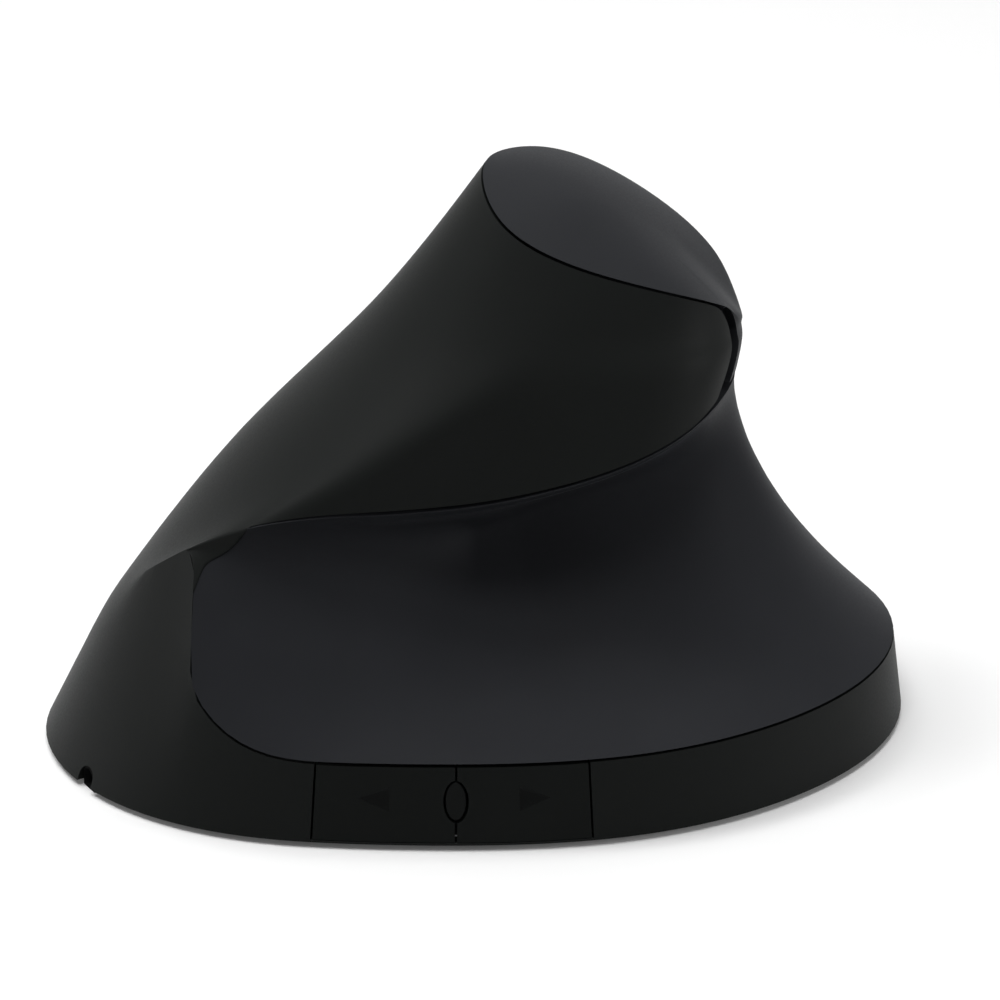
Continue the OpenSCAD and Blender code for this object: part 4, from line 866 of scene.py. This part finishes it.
# Windows: colour, roughness, transmission and specular level
smoked = window("smoked_window", (0.0055, 0.0062, 0.0060), 0.4, 0.0, 0.06)
clear = window("clear_lens", (0.80, 0.86, 0.88), 0.08, 0.9)
led_clear = window("led_cap", (0.80, 0.83, 0.86), 0.12, 0.3)

# Metals, boards and ribbon
zinc = metal("screw_zinc", (0.50, 0.51, 0.53), 0.34)
steel = metal("pin_steel", (0.60, 0.61, 0.63), 0.25)
board_green = circuit_board("board_green")
ribbon_grey = ribbon_cable("ribbon_film")

# CAD nodes that keep their own mesh and only get a material
CARRIED = {
    "base_plate": base_black, "glide_feet": feet_white, "base_screws": zinc,
    "inner_frame": frame_grey, "frame_screws": zinc, "upper_hinge_pin": steel, "lower_hinge_pin": steel,
    "scroll_wheel": hub_grey, "wheel_tyre": tyre_rubber, "wheel_axle": steel, "wheel_yoke": frame_grey,
    "yoke_pin": steel, "wheel_encoder": encoder_green, "button_board": board_green,
    "upper_switch": switch_black, "lower_switch": switch_black, "wheel_switch": switch_black,
    "upper_plunger": plunger_tan, "lower_plunger": plunger_tan, "wheel_plunger": plunger_tan,
    "main_board": board_green, "board_screws": zinc, "optical_sensor": chip_black, "sensor_lens": clear,
    "controller_chip": chip_black, "cable_socket": socket_cream, "flat_cable": ribbon_grey,
    "speed_down_switch": switch_black, "speed_up_switch": switch_black,
    "speed_down_plunger": plunger_tan, "speed_up_plunger": plunger_tan, "indicator_led": led_clear,
}

# Rounding of the mouldings' edges, in millimetres
SHELL_ROUND, SADDLE_ROUND, CAP_ROUND = 0.3, 0.3, 0.35
BUTTON_ROUND, BEZEL_ROUND, KEY_ROUND = 0.35, 0.25, 0.1


def dress(piece, material, body, slot, *nodes):
    """Gives a piece its material and the body that it rides on, and hides the nodes that it stands for. The
    slot is not used.
    """
    piece.data.materials.clear()
    piece.data.materials.append(material)
    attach(piece, body)
    if nodes:
        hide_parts(*nodes)


def build_shells():
    shell = main_shell()
    cut(shell, inlet_cutter())
    soften(shell, SHELL_ROUND)
    dress(shell, shell_black, "housing", "shell", "main_shell")
    dress(grommet(), rubber_black, "housing", "grommet", "cable_grommet")
    dress(nose_corner(), shell_black, "housing", "shell")
    crown = crown_shell()
    soften(crown, CAP_ROUND)
    dress(crown, cap_grey, "housing", "cap", "top_cap", "palm_shell")
    saddle = thumb_saddle()
    soften(saddle, SADDLE_ROUND)
    dress(saddle, saddle_grey, "housing", "saddle", "thumb_saddle")


def build_finger_side():
    upper = finger_patch("upper_button_skin", BEZEL_HIGH, 1, cols=34, rows=24,
                         gap_low=KEY_GAP, gap_high=KEY_GAP, gap=KEY_GAP)
    soften(upper, BUTTON_ROUND)
    dress(upper, button_black, "upper_button", "buttons", "upper_button")
    lower = finger_patch("lower_button_skin", 0, BEZEL_LOW, cols=38, rows=26,
                         gap_low=LEDGE_GAP, gap_high=KEY_GAP, gap=KEY_GAP)
    soften(lower, BUTTON_ROUND)
    dress(lower, button_black, "lower_button", "buttons", "lower_button")
    bezel = finger_patch("wheel_bezel_skin", BEZEL_LOW, BEZEL_HIGH, cols=36, rows=12,
                         gap_low=SEAM, gap_high=SEAM, gap=SEAM)
    cut(bezel, wheel_slot())
    soften(bezel, BEZEL_ROUND)
    dress(bezel, bezel_black, "housing", "bezel", "wheel_bezel")


def build_keys():
    for name, first, last in (("speed_down", KEY_FIRST, KEY_MIDDLE), ("speed_up", KEY_MIDDLE, KEY_LAST)):
        key = speed_key(name + "_key_skin", first, last)
        cut(key, lens_cutter())
        soften(key, KEY_ROUND, segments=2)
        dress(key, key_black, name + "_key", "shell", name + "_key")
    dress(key_sill(), shell_black, "housing", "shell")
    dress(indicator_lens(), smoked, "housing", "lens", "indicator_lens")
    for name, base_x, way in (("speed_down", DOWN_ARROW_X, -1), ("speed_up", UP_ARROW_X, 1)):
        dress(key_arrow(name + "_arrow", base_x, way), arrow_black, name + "_key", "shell")


def dress_carried():
    for node, material in CARRIED.items():
        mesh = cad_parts[node].data
        mesh.materials.clear()
        mesh.materials.append(material)


# Camera that fits the photograph's outline: angles, metres and pixels
CAMERA_TURN, CAMERA_RISE = math.radians(-4), math.radians(25)
CAMERA_REACH = 0.6
LENS_PIXELS, FRAME_PIXELS = 4380, 1000
SENSOR_MM = 36
CLIP_START, CLIP_END = 0.01, 20
AIM = Vector((-0.0003, 0.001, 0.035))
AIM_RIGHT, AIM_UP = 0.00356, -0.00178

# Floor and world: what they give to the object, and what the camera, mirrors and glass see
FLOOR_SIZE, FLOOR_NOISE = 4.0, 2.0
FLOOR_SPREAD = ((0.24, 0.24, 0.24), (0.26, 0.26, 0.26))
FLOOR_SEEN = ((0.95, 0.95, 0.95), (0.97, 0.97, 0.97))
FLOOR_LIFT, FLOOR_ROUGHNESS, FLOOR_SPECULAR = 0.05, 0.9, 0.1
WORLD_LIGHT, WORLD_SEEN = 0.18, 1.0
WHITE = (1, 1, 1, 1)
# Colour sockets of a Mix node, whose names repeat
MIX_FIRST, MIX_SECOND, MIX_RESULT = 6, 7, 2

# Lamps: place, what they point at, size in metres and power in watts
LAMPS = {
    "overhead": ((-0.02, 0.24, 0.92), (0, 0, 0.02), (0.9, 0.7), 5.0),
    "upper_left": ((-0.48, 0.06, 0.82), (0, 0, 0.03), (0.22, 0.22), 2.2),
    "upper_front": ((-0.11, -0.30, 0.89), (0, 0, 0.03), (0.30, 0.30), 2.2),
    "left_strip": ((-0.62, 0.02, 0.12), (0, 0, 0.04), (0.12, 0.40), 0.6),
    "right_strip": ((0.58, -0.20, 0.08), (0, 0, 0.03), (0.12, 0.40), 1.2),
}


def seen_directly(tree):
    """One for rays from the camera, a mirror or glass, none for the light that falls on the object."""
    path = tree.nodes.new("ShaderNodeLightPath")
    total = path.outputs["Is Camera Ray"]
    for name in ("Is Glossy Ray", "Is Transmission Ray"):
        node = tree.nodes.new("ShaderNodeMath")
        node.operation = "MAXIMUM"
        tree.links.new(total, node.inputs[0])
        tree.links.new(path.outputs[name], node.inputs[1])
        total = node.outputs["Value"]
    return total


def build_stage():
    bpy.ops.mesh.primitive_grid_add(x_subdivisions=2, y_subdivisions=2, size=FLOOR_SIZE)
    floor = bpy.context.object
    floor.name = "floor"
    material, tree, shader = new_material("floor_white")
    seen = seen_directly(tree)
    mixed = tree.nodes.new("ShaderNodeMix")
    mixed.data_type = "RGBA"
    tree.links.new(seen, mixed.inputs["Factor"])
    for socket, colours in ((MIX_FIRST, FLOOR_SPREAD), (MIX_SECOND, FLOOR_SEEN)):
        tree.links.new(tints(tree, noise(tree, FLOOR_NOISE), *colours), mixed.inputs[socket])
    tree.links.new(mixed.outputs[MIX_RESULT], shader.inputs["Base Color"])
    shader.inputs["Roughness"].default_value = FLOOR_ROUGHNESS
    shader.inputs["Specular IOR Level"].default_value = FLOOR_SPECULAR
    lift = tree.nodes.new("ShaderNodeMath")
    lift.operation = "MULTIPLY"
    lift.inputs[1].default_value = FLOOR_LIFT
    tree.links.new(seen, lift.inputs[0])
    shader.inputs["Emission Color"].default_value = WHITE
    tree.links.new(lift.outputs["Value"], shader.inputs["Emission Strength"])
    floor.data.materials.append(material)


def add_lamp(name, place, target, size, power):
    data = bpy.data.lights.new(name, "AREA")
    data.shape = "RECTANGLE"
    data.size, data.size_y = size
    data.energy = power
    lamp = bpy.data.objects.new(name, data)
    lamp.location = place
    lamp.rotation_euler = (Vector(target) - Vector(place)).to_track_quat("-Z", "Y").to_euler()
    bpy.context.collection.objects.link(lamp)


def build_light():
    for name, lamp in LAMPS.items():
        add_lamp(name, *lamp)
    world = bpy.data.worlds.new("studio")
    bpy.context.scene.world = world
    world.use_nodes = True
    tree = world.node_tree
    background = tree.nodes["Background"]
    background.inputs["Color"].default_value = WHITE
    strength = add_node(tree, "ShaderNodeMapRange", {"To Min": WORLD_LIGHT, "To Max": WORLD_SEEN})
    tree.links.new(seen_directly(tree), strength.inputs["Value"])
    tree.links.new(strength.outputs["Result"], background.inputs["Strength"])


def build_camera():
    data = bpy.data.cameras.new("photo_camera")
    data.sensor_width = SENSOR_MM
    data.lens = SENSOR_MM * LENS_PIXELS / FRAME_PIXELS
    data.clip_start, data.clip_end = CLIP_START, CLIP_END
    camera = bpy.data.objects.new("photo_camera", data)
    level = math.cos(CAMERA_RISE)
    away = Vector((math.sin(CAMERA_TURN) * level, -math.cos(CAMERA_TURN) * level, math.sin(CAMERA_RISE)))
    right = Vector((math.cos(CAMERA_TURN), math.sin(CAMERA_TURN), 0))
    up = right.cross(-away)
    camera.location = AIM + right * AIM_RIGHT + up * AIM_UP + away * CAMERA_REACH
    camera.rotation_euler = (-away).to_track_quat("-Z", "Y").to_euler()
    bpy.context.collection.objects.link(camera)
    bpy.context.scene.camera = camera


bpy.context.scene.view_settings.view_transform = "Standard"
build_camera()
build_shells()
build_finger_side()
build_keys()
dress_carried()
build_stage()
build_light()
